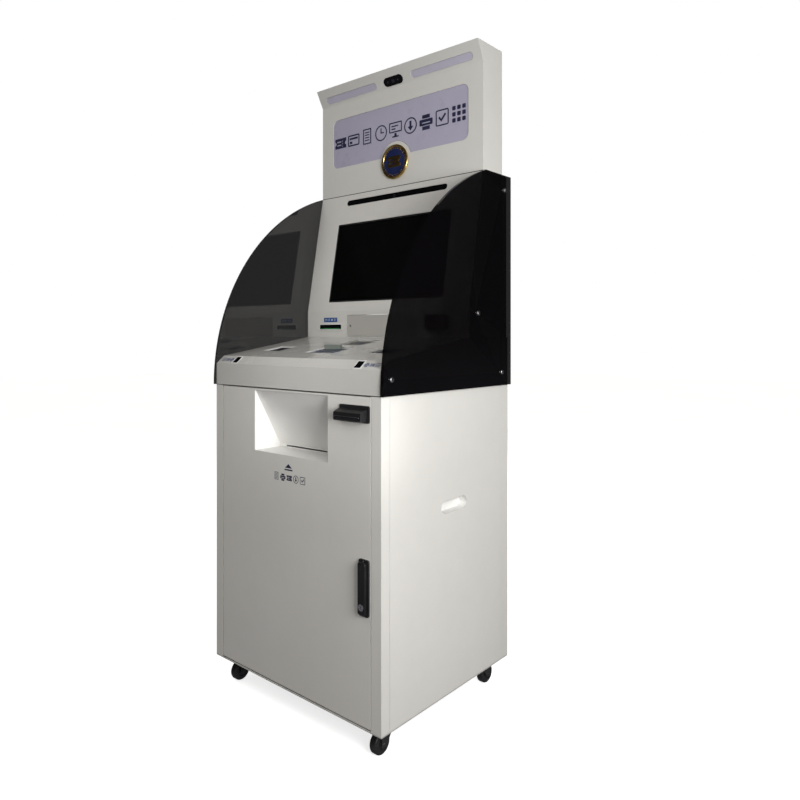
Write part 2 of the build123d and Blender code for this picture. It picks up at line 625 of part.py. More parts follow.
def panel_screws():
    """Domed cap screws that hold the smoked panels."""
    screws = []
    for sx in (-1, 1):
        for y, up in PANEL_SCREWS:
            x_out = HALF + PANEL_T
            shank = rod_x(SCREW_R, *sorted((sx * (HALF - 8), sx * x_out)), FRONT + y, TABLE_Z + up)
            head = rod_x(SCREW_HEAD_R, *sorted((sx * x_out, sx * (x_out + SCREW_HEAD_T))), FRONT + y, TABLE_Z + up)
            rim = head.faces().sort_by(Axis.X)[-1 if sx > 0 else 0].edges()
            screws.append(shank + fillet(rim, 2.5))
    return Compound(children=screws)


# ---- front door ----------------------------------------------------------------------------

def door_pan(y, inward, z0, z1):
    """Folded door: skin, top, bottom and side flanges, pierced for its pins."""
    skin_ys = sorted((y, y + inward * SHEET))
    edge_ys = sorted((y, y + inward * DOOR_T))
    pan = block(DOOR_X0, DOOR_X1, *skin_ys, z0, z1)
    pan += block(DOOR_X0, DOOR_X1, *edge_ys, z0, z0 + SHEET)
    pan += block(DOOR_X0, DOOR_X1, *edge_ys, z1 - SHEET, z1)
    pan += block(DOOR_X1 - SHEET, DOOR_X1, *edge_ys, z0, z1)
    pan += block(DOOR_X0 + 2 * PIVOT_IN, DOOR_X0 + 2 * PIVOT_IN + SHEET, *edge_ys, z0, z1)
    pivot_y = y + inward * PIVOT_IN
    for z in (z0, z1):
        pan -= rod_z(PIVOT_R + PIVOT_FIT, z - 5, z + 5, PIVOT_X, pivot_y)
    return pan


def front_door():
    pan = door_pan(FRONT, 1, DOOR_Z0, DOOR_Z1)
    pan -= block(-OUTLET_W / 2, OUTLET_W / 2, FRONT - 5, FRONT + SHEET + 1, OUTLET_BOTTOM, OUTLET_TOP)
    pan -= block(SLOT_X - SLOT_W / 2 + 4, SLOT_X + SLOT_W / 2 - 4, FRONT - 5, FRONT + SHEET + 1,
                 SLOT_Z - SLOT_H / 2 + 3, SLOT_Z + SLOT_H / 2 - 3)
    return pan - rod_y(SPINDLE_R + TURN_FIT, FRONT - 5, FRONT + DOOR_T + 5, HANDLE_X, SPINDLE_Z)


def outlet_outline(grow):
    """Side outline of the outlet: level floor, low upright foot, long sloping back."""
    y1 = FRONT + OUTLET_DEPTH + grow
    return Polygon((FRONT + SHEET, OUTLET_BOTTOM - grow), (y1, OUTLET_BOTTOM - grow),
                   (y1, OUTLET_BOTTOM + OUTLET_FOOT + grow), (FRONT + SHEET, OUTLET_TOP + 1.6 * grow), align=None)


def outlet_chute():
    """Recess that catches printed sheets, with a feed slot at the foot of its back."""
    half = OUTLET_W / 2
    chute = along_x(outlet_outline(SHEET), -half - SHEET, half + SHEET) - along_x(outlet_outline(0), -half, half)
    y1 = FRONT + OUTLET_DEPTH
    return chute - block(-108, 108, y1 - 5, y1 + 9, OUTLET_BOTTOM + 2.5, OUTLET_BOTTOM + 2.5 + FEED_H)


def slot_bezel():
    """Receipt mouth: a plate with a sloping hood whose blunt front carries the paper lip."""
    face = front_plane(FRONT, SLOT_Z)
    plate = on_face(face, Pos(SLOT_X, 0) * RectangleRounded(SLOT_W, SLOT_H, 4), -SLOT_PLATE_T, 0)
    low = SLOT_Z - SLOT_H / 2 + 3
    side = Polygon((FRONT, low), (FRONT - NOSE_OUT, low), (FRONT - NOSE_OUT, low + NOSE_FACE),
                   (FRONT, low + NOSE_ROOT), align=None)
    nose = along_x(side, SLOT_X - SLOT_W / 2, SLOT_X - SLOT_W / 2 + NOSE_W)
    nose = fillet(nose.edges().filter_by(Axis.X).sort_by(Axis.Y)[:2], 4)
    mouth = block(SLOT_X - MOUTH_W / 2 - 2, SLOT_X + MOUTH_W / 2 - 6, FRONT - NOSE_OUT - 1, FRONT + 9,
                  low + (NOSE_FACE - MOUTH_H) / 2, low + (NOSE_FACE + MOUTH_H) / 2)
    back = block(SLOT_X - SLOT_W / 2 + 4.3, SLOT_X + SLOT_W / 2 - 4.3, FRONT, FRONT + 6,
                 SLOT_Z - SLOT_H / 2 + 3.3, SLOT_Z + SLOT_H / 2 - 3.3)
    return plate + nose + back - mouth


def receipt_printer():
    """Small printer frame: two cheeks, a head bar and the roll's trough."""
    x0, x1 = SLOT_X - SLOT_W / 2, SLOT_X - SLOT_W / 2 + RECEIPT_W
    y0, y1 = FRONT + 6, FRONT + PRINTER_D
    z0, z1 = SLOT_Z - 58, SLOT_Z + 22
    cheeks = block(x0, x0 + 2, y0, y1, z0, z1) + block(x1 - 2, x1, y0, y1, z0, z1)
    frame = cheeks + block(x0, x1, y0, y1, z0, z0 + 2) + block(x0, x1, y0 + 22, y0 + 30, z1 - 12, z1)
    frame -= rod_x(2 + TURN_FIT, x0 - 1, x1 + 1, ROLL_Y, ROLL_Z)
    return frame - rod_x(2 + TURN_FIT, x0 - 1, x1 + 1, PLATEN_Y, PLATEN_Z)


def printer_roller(radius, y, z):
    """A roller between the printer's cheeks, with thin journals."""
    x0, x1 = SLOT_X - SLOT_W / 2, SLOT_X - SLOT_W / 2 + RECEIPT_W
    return rod_x(radius, x0 + 3, x1 - 3, y, z) + rod_x(2, x0, x1, y, z)


def paper_roll():
    return printer_roller(ROLL_R, ROLL_Y, ROLL_Z)


def platen_roller():
    return printer_roller(PLATEN_R, PLATEN_Y, PLATEN_Z)


# ---- swing handle and lock ---------------------------------------------------------------------

def handle_base():
    """Escutcheon of the swing handle, screwed to the door."""
    face = front_plane(FRONT, HANDLE_Z)
    base = on_face(face, Pos(HANDLE_X, 0) * RectangleRounded(HANDLE_W, HANDLE_H, 5), -HANDLE_PLATE_T, 0)
    return base - rod_y(SPINDLE_R + TURN_FIT, FRONT - 9, FRONT + 9, HANDLE_X, SPINDLE_Z)


def latch_cam():
    """Spindle through the door with the cam that turns behind the post's lip."""
    spindle = rod_y(SPINDLE_R, FRONT - HANDLE_PLATE_T, FRONT + DOOR_T + 9, HANDLE_X, SPINDLE_Z)
    y0 = FRONT + POST_LIP + 1.5
    cam = block(HANDLE_X - 9, HANDLE_X + 9, y0, y0 + 3, SPINDLE_Z - 34, SPINDLE_Z + 9)
    return spindle + cam


def swing_lever():
    """Lever that lifts at its lower end, then turns the spindle."""
    plane = front_plane(LEVER_Y, HANDLE_Z)
    outline = Pos(HANDLE_X, 0) * RectangleRounded(HANDLE_W - 8, HANDLE_H - 10, 5)
    lever = on_face(plane, outline, -LEVER_T, 0)
    lever = fillet(lever.faces().sort_by(Axis.Y)[0].edges(), 2)
    body = block(HANDLE_X - 20, HANDLE_X + 20, LEVER_Y - LEVER_T - 1, LEVER_Y + 1, HANDLE_Z - 60, LIFT_Z)
    lever = lever & (body + rod_x(LEVER_T / 2, HANDLE_X - 20, HANDLE_X + 20, LIFT_Y, LIFT_Z))
    return lever - rod_y(7.5 + TURN_FIT, LEVER_Y - LEVER_T - 1, LEVER_Y - 2, HANDLE_X, CYLINDER_Z)


def lock_cylinder():
    """Key plug in the lever's lower end."""
    plug = rod_y(7.5, LEVER_Y - LEVER_T - 0.8, LEVER_Y - 2.2, HANDLE_X, CYLINDER_Z)
    return plug - block(HANDLE_X - 0.8, HANDLE_X + 0.8, LEVER_Y - LEVER_T - 2, LEVER_Y - LEVER_T + 5,
                        CYLINDER_Z - 4, CYLINDER_Z + 4)


# ---- rear door, hinge pins, inlet and gland ------------------------------------------------------

def rear_door():
    """Service door at the back, with two fields of vent slots."""
    pan = door_pan(BACK, -1, REAR_DOOR_Z0, DOOR_Z1)
    for z in (REAR_DOOR_Z0 + 50, DOOR_Z1 - 130):
        for x in (-110, 110):
            for slot in vent_slots(x, BACK, z, 7, 12, 130):
                pan -= slot
    return pan - rod_y(SPINDLE_R + TURN_FIT, BACK - DOOR_T - 5, BACK + 5, HANDLE_X - 12, HANDLE_Z)


def rear_lock():
    """Quarter-turn knob with its cam, in the rear door."""
    x = HANDLE_X - 12
    knob = rod_y(14, BACK + 0.3, BACK + REAR_OUT, x, HANDLE_Z)
    knob += rod_y(SPINDLE_R, BACK - DOOR_T - 9, BACK + 1, x, HANDLE_Z)
    knob -= block(x - 1.5, x + 1.5, BACK + REAR_OUT - 3, BACK + REAR_OUT + 1, HANDLE_Z - 15, HANDLE_Z + 15)
    y1 = BACK - POST_LIP - 1.5
    return knob + block(x - 9, x + 9, y1 - 3, y1, HANDLE_Z - 34, HANDLE_Z + 9)


def hinge_pins():
    """Pins with their brackets, at the foot and head of each door."""
    pins = []
    x0 = DOOR_X0 - DOOR_GAP
    for y, inward, low in ((FRONT, 1, DOOR_Z0), (BACK, -1, REAR_DOOR_Z0)):
        pivot_y = y + inward * PIVOT_IN
        ys = sorted((y, y + inward * (PIVOT_IN + 6)))
        foot_z = BASE_Z + BASE_T if inward > 0 else low - 2.2
        head = block(x0, PIVOT_X + 5, *ys, DOOR_Z1 + 0.4, TABLE_Z)
        head += rod_z(PIVOT_R, DOOR_Z1 - 8, DOOR_Z1 + 1, PIVOT_X, pivot_y)
        foot = block(x0, PIVOT_X + 5, *ys, foot_z, low - 0.4)
        foot += rod_z(PIVOT_R, low - 1, low + 8, PIVOT_X, pivot_y)
        pins += [head, foot]
    return Compound(children=pins)


def sill_middle():
    """Height of the inlet and the gland."""
    return BASE_Z + BASE_T / 2 + REAR_SILL_H / 2


def power_inlet():
    """Mains socket and switch well in one moulded insert."""
    z = sill_middle()
    flange = block(INLET_X - INLET_W / 2, INLET_X + INLET_W / 2, BACK, BACK + 2.5,
                   z - INLET_H / 2 + 1, z + INLET_H / 2 - 1)
    body = block(INLET_X - INLET_W / 2 + 3.3, INLET_X + INLET_W / 2 - 3.3, BACK - 26, BACK,
                 z - INLET_H / 2 + 5.3, z + INLET_H / 2 - 5.3)
    insert = flange + body - block(INLET_X - 13, INLET_X + 13, BACK - 18, BACK + 9, z - 22, z - 4)
    insert -= block(INLET_X - 11, INLET_X + 11, BACK - 15, BACK + 9, z + 4, z + 20)
    for x in (-6, 0, 6):
        insert += rod_y(1.2, BACK - 19, BACK - 6, INLET_X + x, z - 13)
    return insert


def power_rocker():
    """Rocker of the mains switch, tipped to its on side."""
    z = sill_middle() + 12
    plane = Plane(origin=(INLET_X - 10, BACK - 4, z), x_dir=(0, 1, 0), z_dir=(1, 0, 0))
    outline = Polygon((-2, -5.5), (4.5, -7), (1.8, 0), (2.6, 6.8), (-2, 5), align=None)
    return extrude(plane * (outline + Pos(-1, 0) * Circle(3)), 20)


def cable_gland():
    """Strain-relief gland for the mains and network leads."""
    z = sill_middle()
    collar = extrude(Plane(origin=(GLAND_X, BACK, z), x_dir=(1, 0, 0), z_dir=(0, 1, 0))
                     * RegularPolygon(GLAND_R, 6), 8)
    neck = rod_y(GLAND_R - 3.3, BACK - GLAND_L + 8, BACK, GLAND_X, z)
    nut = extrude(Plane(origin=(GLAND_X, BACK - SHEET - 5, z), x_dir=(1, 0, 0), z_dir=(0, 1, 0))
                  * RegularPolygon(GLAND_R, 6), 5)
    return collar + neck + nut - rod_y(GLAND_BORE_R, BACK - GLAND_L - 1, BACK + 9, GLAND_X, z)


# ---- casters --------------------------------------------------------------------------------

def caster_plates():
    """Fixed top plates, with the race that each fork turns in."""
    plates = []
    for x, y, side in CASTER_PIVOTS.values():
        plate = block(x - PLATE_SIDE / 2, x + PLATE_SIDE / 2, y - PLATE_SIDE / 2, y + PLATE_SIDE / 2,
                      BASE_Z - PLATE_T, BASE_Z)
        plates.append(plate + rod_z(5, BASE_Z - PLATE_T - RACE_H, BASE_Z - PLATE_T, x, y))
    return Compound(children=plates)


def caster_fork(x, y, side):
    """Swivel head, two cheeks and the axle."""
    top = BASE_Z - PLATE_T - 0.4
    wheel_y = y + side * TRAIL
    head = rod_z(RACE_R, top - RACE_H, top, x, y) - rod_z(5.1, top - RACE_H, top + 1, x, y)
    half = WHEEL_W / 2 + FORK_GAP
    crown_ys = sorted((y - side * RACE_R, wheel_y + side * 6))
    fork = head + block(x - half - FORK_T, x + half + FORK_T, *crown_ys, top - RACE_H - FORK_T, top - RACE_H)
    for sx in (-1, 1):
        xs = sorted((x + sx * half, x + sx * (half + FORK_T)))
        outline = Polygon((y - side * RACE_R, top - RACE_H - 1), (wheel_y - side * 7, WHEEL_R - 7),
                          (wheel_y + side * 7, WHEEL_R - 7), (wheel_y + side * 6, top - RACE_H - 1), align=None)
        fork += along_x(outline, xs[0], xs[1])
    if side > 0:
        pin_y, pin_z = wheel_y + PEDAL_OUT, pedal_pin_z()
        for sx in (-1, 1):
            xs = sorted((x + sx * half, x + sx * (half + FORK_T)))
            fork += rod_x(PEDAL_R, xs[0], xs[1], pin_y, pin_z)
            fork += block(*xs, wheel_y + 5, pin_y, pin_z - PEDAL_R, pin_z + PEDAL_R)
        fork += rod_x(PEDAL_PIN_R, x - half - 1, x + half + 1, pin_y, pin_z)
    return fork + rod_x(AXLE_R, x - half - FORK_T - 2, x + half + FORK_T + 2, wheel_y, WHEEL_R)


def caster_wheel(x, y, side):
    """Wheel with a rounded tread and dished faces."""
    wheel_y = y + side * TRAIL
    wheel = rod_x(WHEEL_R, x - WHEEL_W / 2, x + WHEEL_W / 2, wheel_y, WHEEL_R)
    wheel = fillet(wheel.edges(), 5)
    for sx in (-1, 1):
        xs = sorted((x + sx * (WHEEL_W / 2 - 2), x + sx * (WHEEL_W / 2 + 1)))
        wheel -= rod_x(15, xs[0], xs[1], wheel_y, WHEEL_R) - rod_x(7, xs[0], xs[1], wheel_y, WHEEL_R)
    return wheel - rod_x(AXLE_R + AXLE_FIT, x - 20, x + 20, wheel_y, WHEEL_R)


def pedal_pin_z():
    """Height of the brake pedals' hinge pin."""
    return BASE_Z - PLATE_T - RACE_H - FORK_T - 5.0


def brake_pedal(x, y, side):
    """Foot pedal behind the wheel, hinged on a pin between the fork's ears."""
    pin_y, pin_z = y + side * (TRAIL + PEDAL_OUT), pedal_pin_z()
    half = WHEEL_W / 2 - 1
    pedal = rod_x(PEDAL_R, x - half, x + half, pin_y, pin_z)
    pedal += block(x - half, x + half, pin_y, pin_y + 20.5, pin_z, pin_z + PEDAL_R)
    pedal += block(x - 12, x + 12, pin_y + 12, pin_y + 20.5, pin_z, pin_z + 5)
    return pedal - rod_x(PEDAL_PIN_R + AXLE_FIT, x - 20, x + 20, pin_y, pin_z)


NODES = {
    "base_plate": base_plate,
    "cabinet_frame": cabinet_frame,
    "side_panels": side_panels,
    "side_grips": side_grips,
    "equipment_shelf": equipment_shelf,
    "computer": computer,
    "power_supply": power_supply,
    "document_printer": document_printer,
    "table_top": table_top,
    "reader_wells": reader_wells,
    "reader_windows": reader_windows,
    "card_stop": card_stop,
    "bevel_windows": bevel_windows,
    "monitor_panel": monitor_panel,
    "touch_glass": touch_glass,
    "display_module": display_module,
    "camera_windows": camera_windows,
    "card_bezel": card_bezel,
    "card_reader": card_reader,
    "inset_panel": inset_panel,
    "code_scanner": code_scanner,
    "console_sides": console_sides,
    "rear_covers": rear_covers,
    "fan_frame": fan_frame,
    "fan_rotor": fan_rotor,
    "header_shell": header_shell,
    "sign_panel": sign_panel,
    "sign_badge": sign_badge,
    "lamp_diffusers": lamp_diffusers,
    "light_boards": light_boards,
    "smoked_panels": smoked_panels,
    "panel_screws": panel_screws,
    "front_door": front_door,
    "outlet_chute": outlet_chute,
    "slot_bezel": slot_bezel,
    "receipt_printer": receipt_printer,
    "paper_roll": paper_roll,
    "platen_roller": platen_roller,
    "handle_base": handle_base,
    "latch_cam": latch_cam,
    "swing_lever": swing_lever,
    "lock_cylinder": lock_cylinder,
    "rear_door": rear_door,
    "rear_lock": rear_lock,
    "hinge_pins": hinge_pins,
    "power_inlet": power_inlet,
    "power_rocker": power_rocker,
    "cable_gland": cable_gland,
    "caster_plates": caster_plates,
}

os.makedirs("parts", exist_ok=True)
for node, make in NODES.items():
    export_step(make(), f"parts/{node}.step")
for place, (px, py, side) in CASTER_PIVOTS.items():
    export_step(caster_fork(px, py, side), f"parts/fork_{place}.step")
    export_step(caster_wheel(px, py, side), f"parts/wheel_{place}.step")
    if side > 0:
        export_step(brake_pedal(px, py, side), f"parts/brake_{place}.step")
print("front", FRONT, "back", BACK, "foot z", round(FOOT_Z, 2), "header z", round(HEADER_Z, 2),
      "face y", round(FACE_Y, 2), "top", round(TOP_Z, 2), "pivot x", PIVOT_X)
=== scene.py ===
"""Looks of a self-service ticket terminal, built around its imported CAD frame.

Everything is in metres, in the CAD frame: +X to the user's right, +Y towards the back, +Z up.
Each sub-assembly is a class that builds its pieces and dresses them, and each finish is a small class.
"""

import logging
import math
from dataclasses import dataclass, field
from enum import Enum
from typing import Callable, Iterable, Sequence

import bmesh
import bpy
from mathutils import Matrix, Vector


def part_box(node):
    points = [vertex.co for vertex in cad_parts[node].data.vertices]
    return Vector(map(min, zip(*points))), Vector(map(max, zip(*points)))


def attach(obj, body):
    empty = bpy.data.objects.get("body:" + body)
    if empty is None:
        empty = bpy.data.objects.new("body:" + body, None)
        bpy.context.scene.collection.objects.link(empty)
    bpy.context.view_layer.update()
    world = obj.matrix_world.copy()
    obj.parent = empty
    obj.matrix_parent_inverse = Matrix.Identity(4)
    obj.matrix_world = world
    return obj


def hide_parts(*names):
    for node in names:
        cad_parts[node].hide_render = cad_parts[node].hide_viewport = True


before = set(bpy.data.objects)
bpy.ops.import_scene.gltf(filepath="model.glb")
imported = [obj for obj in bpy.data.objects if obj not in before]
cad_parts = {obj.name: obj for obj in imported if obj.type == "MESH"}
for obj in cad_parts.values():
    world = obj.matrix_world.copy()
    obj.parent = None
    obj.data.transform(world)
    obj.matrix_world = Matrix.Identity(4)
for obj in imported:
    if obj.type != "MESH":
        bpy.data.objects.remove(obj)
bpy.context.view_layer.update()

LOG = logging.getLogger("terminal")
MM = 0.001
SHEET = 1.5 * MM          # folded sheet that the housing is made of
Colour = tuple[float, float, float]
Outline = list[tuple[float, float]]


# ---------------------------------------------------------------------------------------------
# Shader graphs
# ---------------------------------------------------------------------------------------------

class Graph:
    """Short calls for adding and joining the nodes of one shader tree."""

    def __init__(self, tree: bpy.types.NodeTree) -> None:
        """Keep the tree that is being filled.

        Args:
            tree: The material's or the group's node tree.
        """
        self.tree = tree

    def add(self, kind: str, inputs: dict | None = None, **props: object) -> bpy.types.Node:
        """Add one node.

        Args:
            kind: The node's type, without its ShaderNode prefix.
            inputs: Values or sockets for its inputs, by name or index.
            props: Attributes to set on the node.

        Returns:
            The new node.
        """
        node = self.tree.nodes.new("ShaderNode" + kind)
        for name, value in props.items():
            setattr(node, name, value)
        for name, value in (inputs or {}).items():
            self.feed(value, node.inputs[name])
        return node

    def feed(self, value: object, socket: bpy.types.NodeSocket) -> None:
        """Link a socket to an input, or set the input to a plain value.

        Args:
            value: A socket, a colour or a number.
            socket: The input that gets it.
        """
        if isinstance(value, bpy.types.NodeSocket):
            self.tree.links.new(value, socket)
        elif isinstance(value, (tuple, list)) and len(value) == 3 and socket.type == "RGBA":
            socket.default_value = (*value, 1.0)
        else:
            socket.default_value = value

    def math(self, operation: str, a: object, b: object = 0.0, clamp: bool = False) -> bpy.types.NodeSocket:
        """Join two values with a Math node and return its result.

        Args:
            operation: The node's operation.
            a: First value or socket.
            b: Second value or socket.
            clamp: Whether the result stays between 0 and 1.

        Returns:
            The result's socket.
        """
        node = self.add("Math", {0: a, 1: b}, operation=operation, use_clamp=clamp)
        return node.outputs[0]

    def blend(self, factor: object, a: object, b: object, mode: str = "MIX") -> bpy.types.NodeSocket:
        """Mix two colours and return the result.

        Args:
            factor: Share of the second colour.
            a: First colour.
            b: Second colour.
            mode: How they mix.

        Returns:
            The mixed colour's socket.
        """
        node = self.add("Mix", {0: factor, 6: a, 7: b}, data_type="RGBA", blend_type=mode)
        return node.outputs[2]

    def spread(self, value: object, low: float, high: float, to_low: float,
               to_high: float) -> bpy.types.NodeSocket:
        """Carry a value from one range to another, clamped.

        Args:
            value: The value to carry.
            low: Lower end it comes from.
            high: Upper end it comes from.
            to_low: Lower end it goes to.
            to_high: Upper end it goes to.

        Returns:
            The result's socket.
        """
        node = self.add("MapRange", {0: value, 1: low, 2: high, 3: to_low, 4: to_high})
        return node.outputs[0]

    def noise(self, scale: object, detail: float = 3.0, rough: float = 0.55, stretch: Colour = (1, 1, 1),
              twist: float = 0.0) -> bpy.types.NodeSocket:
        """Noise in the object's own coordinates, which move with the piece.

        Args:
            scale: Size of the pattern.
            detail: Octaves of detail.
            rough: Weight of the fine octaves.
            stretch: Scale along each axis.
            twist: How far it is distorted.

        Returns:
            The noise's socket.
        """
        place = self.add("TexCoord").outputs["Object"]
        if tuple(stretch) != (1, 1, 1):
            place = self.add("Mapping", {0: place, 3: stretch}).outputs[0]
        node = self.add("TexNoise", {"Vector": place, "Scale": scale, "Detail": detail,
                                     "Roughness": rough, "Distortion": twist})
        return node.outputs[0]


class Effect(Enum):
    """Shader groups that several finishes share."""

    MOTTLE = "Mottled Colour"
    GRAIN = "Fine Grain"
    EDGES = "Worn Edges"
    DUST = "Settled Dust"
    SMUDGES = "Finger Smudges"
    SCUFFS = "Hairline Scuffs"
    BRUSHING = "Brushed Lines"


class EffectLibrary:
    """Builds each shared shader group once and hands it out."""

    def __init__(self) -> None:
        """Start with no group built."""
        self.built: dict[Effect, bpy.types.NodeTree] = {}

    def get(self, effect: Effect) -> bpy.types.NodeTree:
        """Hand out an effect's group, building it the first time.

        Args:
            effect: Which effect is asked for.

        Returns:
            The effect's node group.
        """
        if effect not in self.built:
            self.built[effect] = getattr(self, effect.name.lower())(effect.value)
        return self.built[effect]

    @staticmethod
    def shell(name: str, inputs: dict[str, tuple[str, object]],
              outputs: dict[str, str]) -> tuple[Graph, Callable, bpy.types.Node]:
        """Make an empty group with its sockets.

        Args:
            name: The group's name.
            inputs: Socket type and default value, by socket name.
            outputs: Socket type, by socket name.

        Returns:
            The graph, a function that gives an input's socket, and the output node.
        """
        tree = bpy.data.node_groups.new(name, "ShaderNodeTree")
        for label, (kind, value) in inputs.items():
            socket = tree.interface.new_socket(name=label, in_out="INPUT", socket_type="NodeSocket" + kind)
            socket.default_value = (*value, 1.0) if kind == "Color" else value
        for label, kind in outputs.items():
            tree.interface.new_socket(name=label, in_out="OUTPUT", socket_type="NodeSocket" + kind)
        entry, leave = tree.nodes.new("NodeGroupInput"), tree.nodes.new("NodeGroupOutput")
        return Graph(tree), (lambda label: entry.outputs[label]), leave

    def mottle(self, name: str) -> bpy.types.NodeTree:
        """Two colours drifting into each other over the surface.

        Args:
            name: The group's name.

        Returns:
            The group.
        """
        g, given, leave = self.shell(
            name, {"Color A": ("Color", (0.8, 0.8, 0.8)), "Color B": ("Color", (0.7, 0.7, 0.7)),
                   "Scale": ("Float", 3.0)}, {"Color": "Color", "Value": "Float"})
        broad = g.noise(given("Scale"), 2.0, 0.5)
        fine = g.noise(g.math("MULTIPLY", given("Scale"), 11.0), 3.0, 0.6)
        value = g.spread(g.math("ADD", broad, g.math("MULTIPLY", fine, 0.35)), 0.48, 0.86, 0.0, 1.0)
        g.feed(g.blend(value, given("Color A"), given("Color B")), leave.inputs["Color"])
        g.feed(value, leave.inputs["Value"])
        return g.tree

    def grain(self, name: str) -> bpy.types.NodeTree:
        """Orange peel and moulded texture, as a height and a roughness.

        Args:
            name: The group's name.

        Returns:
            The group.
        """
        g, given, leave = self.shell(
            name, {"Scale": ("Float", 600.0), "Roughness": ("Float", 0.45), "Spread": ("Float", 0.08)},
            {"Height": "Float", "Roughness": "Float"})
        peel = g.noise(given("Scale"), 2.0, 0.5)
        patch = g.noise(g.math("MULTIPLY", given("Scale"), 0.012), 3.0, 0.6)
        wander = g.math("MULTIPLY", g.math("SUBTRACT", patch, 0.5), given("Spread"))
        glint = g.math("MULTIPLY", g.math("SUBTRACT", peel, 0.5), g.math("MULTIPLY", given("Spread"), 0.6))
        g.feed(peel, leave.inputs["Height"])
        rough = g.math("ADD", given("Roughness"), g.math("ADD", wander, glint), clamp=True)
        g.feed(rough, leave.inputs["Roughness"])
        return g.tree

    def edges(self, name: str) -> bpy.types.NodeTree:
        """Mask of the sharp edges, broken up, and a normal that rounds them.

        Args:
            name: The group's name.

        Returns:
            The group.
        """
        g, given, leave = self.shell(
            name, {"Radius": ("Float", 0.0012), "Amount": ("Float", 0.5), "Scale": ("Float", 60.0)},
            {"Mask": "Float", "Normal": "Vector"})
        rounded = g.add("Bevel", {"Radius": given("Radius")}, samples=4)
        flat = g.add("NewGeometry").outputs["True Normal"]
        along = g.add("VectorMath", {0: rounded.outputs[0], 1: flat},
                      operation="DOT_PRODUCT").outputs["Value"]
        rim = g.spread(g.math("SUBTRACT", 1.0, along), 0.02, 0.25, 0.0, 1.0)
        broken = g.spread(g.noise(given("Scale"), 4.0, 0.65), 0.35, 0.62, 0.25, 1.0)
        mask = g.math("MULTIPLY", g.math("MULTIPLY", rim, broken), given("Amount"), clamp=True)
        g.feed(mask, leave.inputs["Mask"])
        g.feed(rounded.outputs[0], leave.inputs["Normal"])
        return g.tree

    def dust(self, name: str) -> bpy.types.NodeTree:
        """Mask of dust that settles on level faces and gathers in patches.

        Args:
            name: The group's name.

        Returns:
            The group.
        """
        g, given, leave = self.shell(
            name, {"Amount": ("Float", 0.3), "Scale": ("Float", 14.0)}, {"Mask": "Float"})
        normal = g.add("NewGeometry").outputs["Normal"]
        up = g.add("SeparateXYZ", {0: normal}).outputs["Z"]
        level = g.spread(up, 0.2, 0.95, 0.12, 1.0)
        patch = g.spread(g.noise(given("Scale"), 5.0, 0.7), 0.4, 0.72, 0.0, 1.0)
        g.feed(g.math("MULTIPLY", g.math("MULTIPLY", level, patch), given("Amount"), clamp=True),
               leave.inputs["Mask"])
        return g.tree

    def smudges(self, name: str) -> bpy.types.NodeTree:
        """Mask of wiped and touched patches on a glossy face.

        Args:
            name: The group's name.

        Returns:
            The group.
        """
        g, given, leave = self.shell(
            name, {"Scale": ("Float", 9.0), "Amount": ("Float", 0.5)}, {"Mask": "Float"})
        wiped = g.noise(given("Scale"), 4.0, 0.6, (1.0, 0.35, 1.0), 1.2)
        touched = g.noise(g.math("MULTIPLY", given("Scale"), 5.0), 2.0, 0.5, twist=0.6)
        both = g.math("MULTIPLY", g.spread(wiped, 0.42, 0.7, 0.0, 1.0),
                      g.spread(touched, 0.3, 0.7, 0.4, 1.0))
        g.feed(g.math("MULTIPLY", both, given("Amount"), clamp=True), leave.inputs["Mask"])
        return g.tree

    def scuffs(self, name: str) -> bpy.types.NodeTree:
        """Mask of fine hairlines crossing at two angles.

        Args:
            name: The group's name.

        Returns:
            The group.
        """
        g, given, leave = self.shell(
            name, {"Scale": ("Float", 40.0), "Amount": ("Float", 0.5)}, {"Mask": "Float"})
        one = g.noise(given("Scale"), 1.0, 0.5, (14.0, 0.6, 0.8), 0.4)
        two = g.noise(given("Scale"), 1.0, 0.5, (0.7, 11.0, 0.5), 0.3)
        thin = [g.math("SUBTRACT", 1.0, g.spread(g.math("ABSOLUTE", g.math("SUBTRACT", n, 0.5)), 0.0, 0.012,
                                                 0.0, 1.0))
                for n in (one, two)]
        worn = g.spread(g.noise(g.math("MULTIPLY", given("Scale"), 0.12), 3.0, 0.6), 0.5, 0.7, 0.0, 1.0)
        lines = g.math("MULTIPLY", g.math("MAXIMUM", thin[0], thin[1]), worn)
        g.feed(g.math("MULTIPLY", lines, given("Amount"), clamp=True), leave.inputs["Mask"])
        return g.tree

    def brushing(self, name: str) -> bpy.types.NodeTree:
        """Drawn or turned metal: a height and a value with long grain.

        Args:
            name: The group's name.

        Returns:
            The group.
        """
        g, given, leave = self.shell(
            name, {"Scale": ("Float", 400.0)}, {"Height": "Float", "Value": "Float"})
        lines = g.noise(given("Scale"), 3.0, 0.7, (0.04, 1.0, 1.0))
        g.feed(lines, leave.inputs["Height"])
        g.feed(g.spread(lines, 0.3, 0.7, 0.0, 1.0), leave.inputs["Value"])
        return g.tree


EFFECTS = EffectLibrary()


def place_effect(g: Graph, effect: Effect, inputs: dict | None = None) -> bpy.types.Node:
    """Put a shared group in a material's graph.

    Args:
        g: The material's graph.
        effect: The group wanted.
        inputs: Values for its sockets.

    Returns:
        The group node.
    """
    node = g.tree.nodes.new("ShaderNodeGroup")
    node.node_tree = EFFECTS.get(effect)
    for name, value in (inputs or {}).items():
        g.feed(value, node.inputs[name])
    return node


# ---------------------------------------------------------------------------------------------
# Finishes
# ---------------------------------------------------------------------------------------------

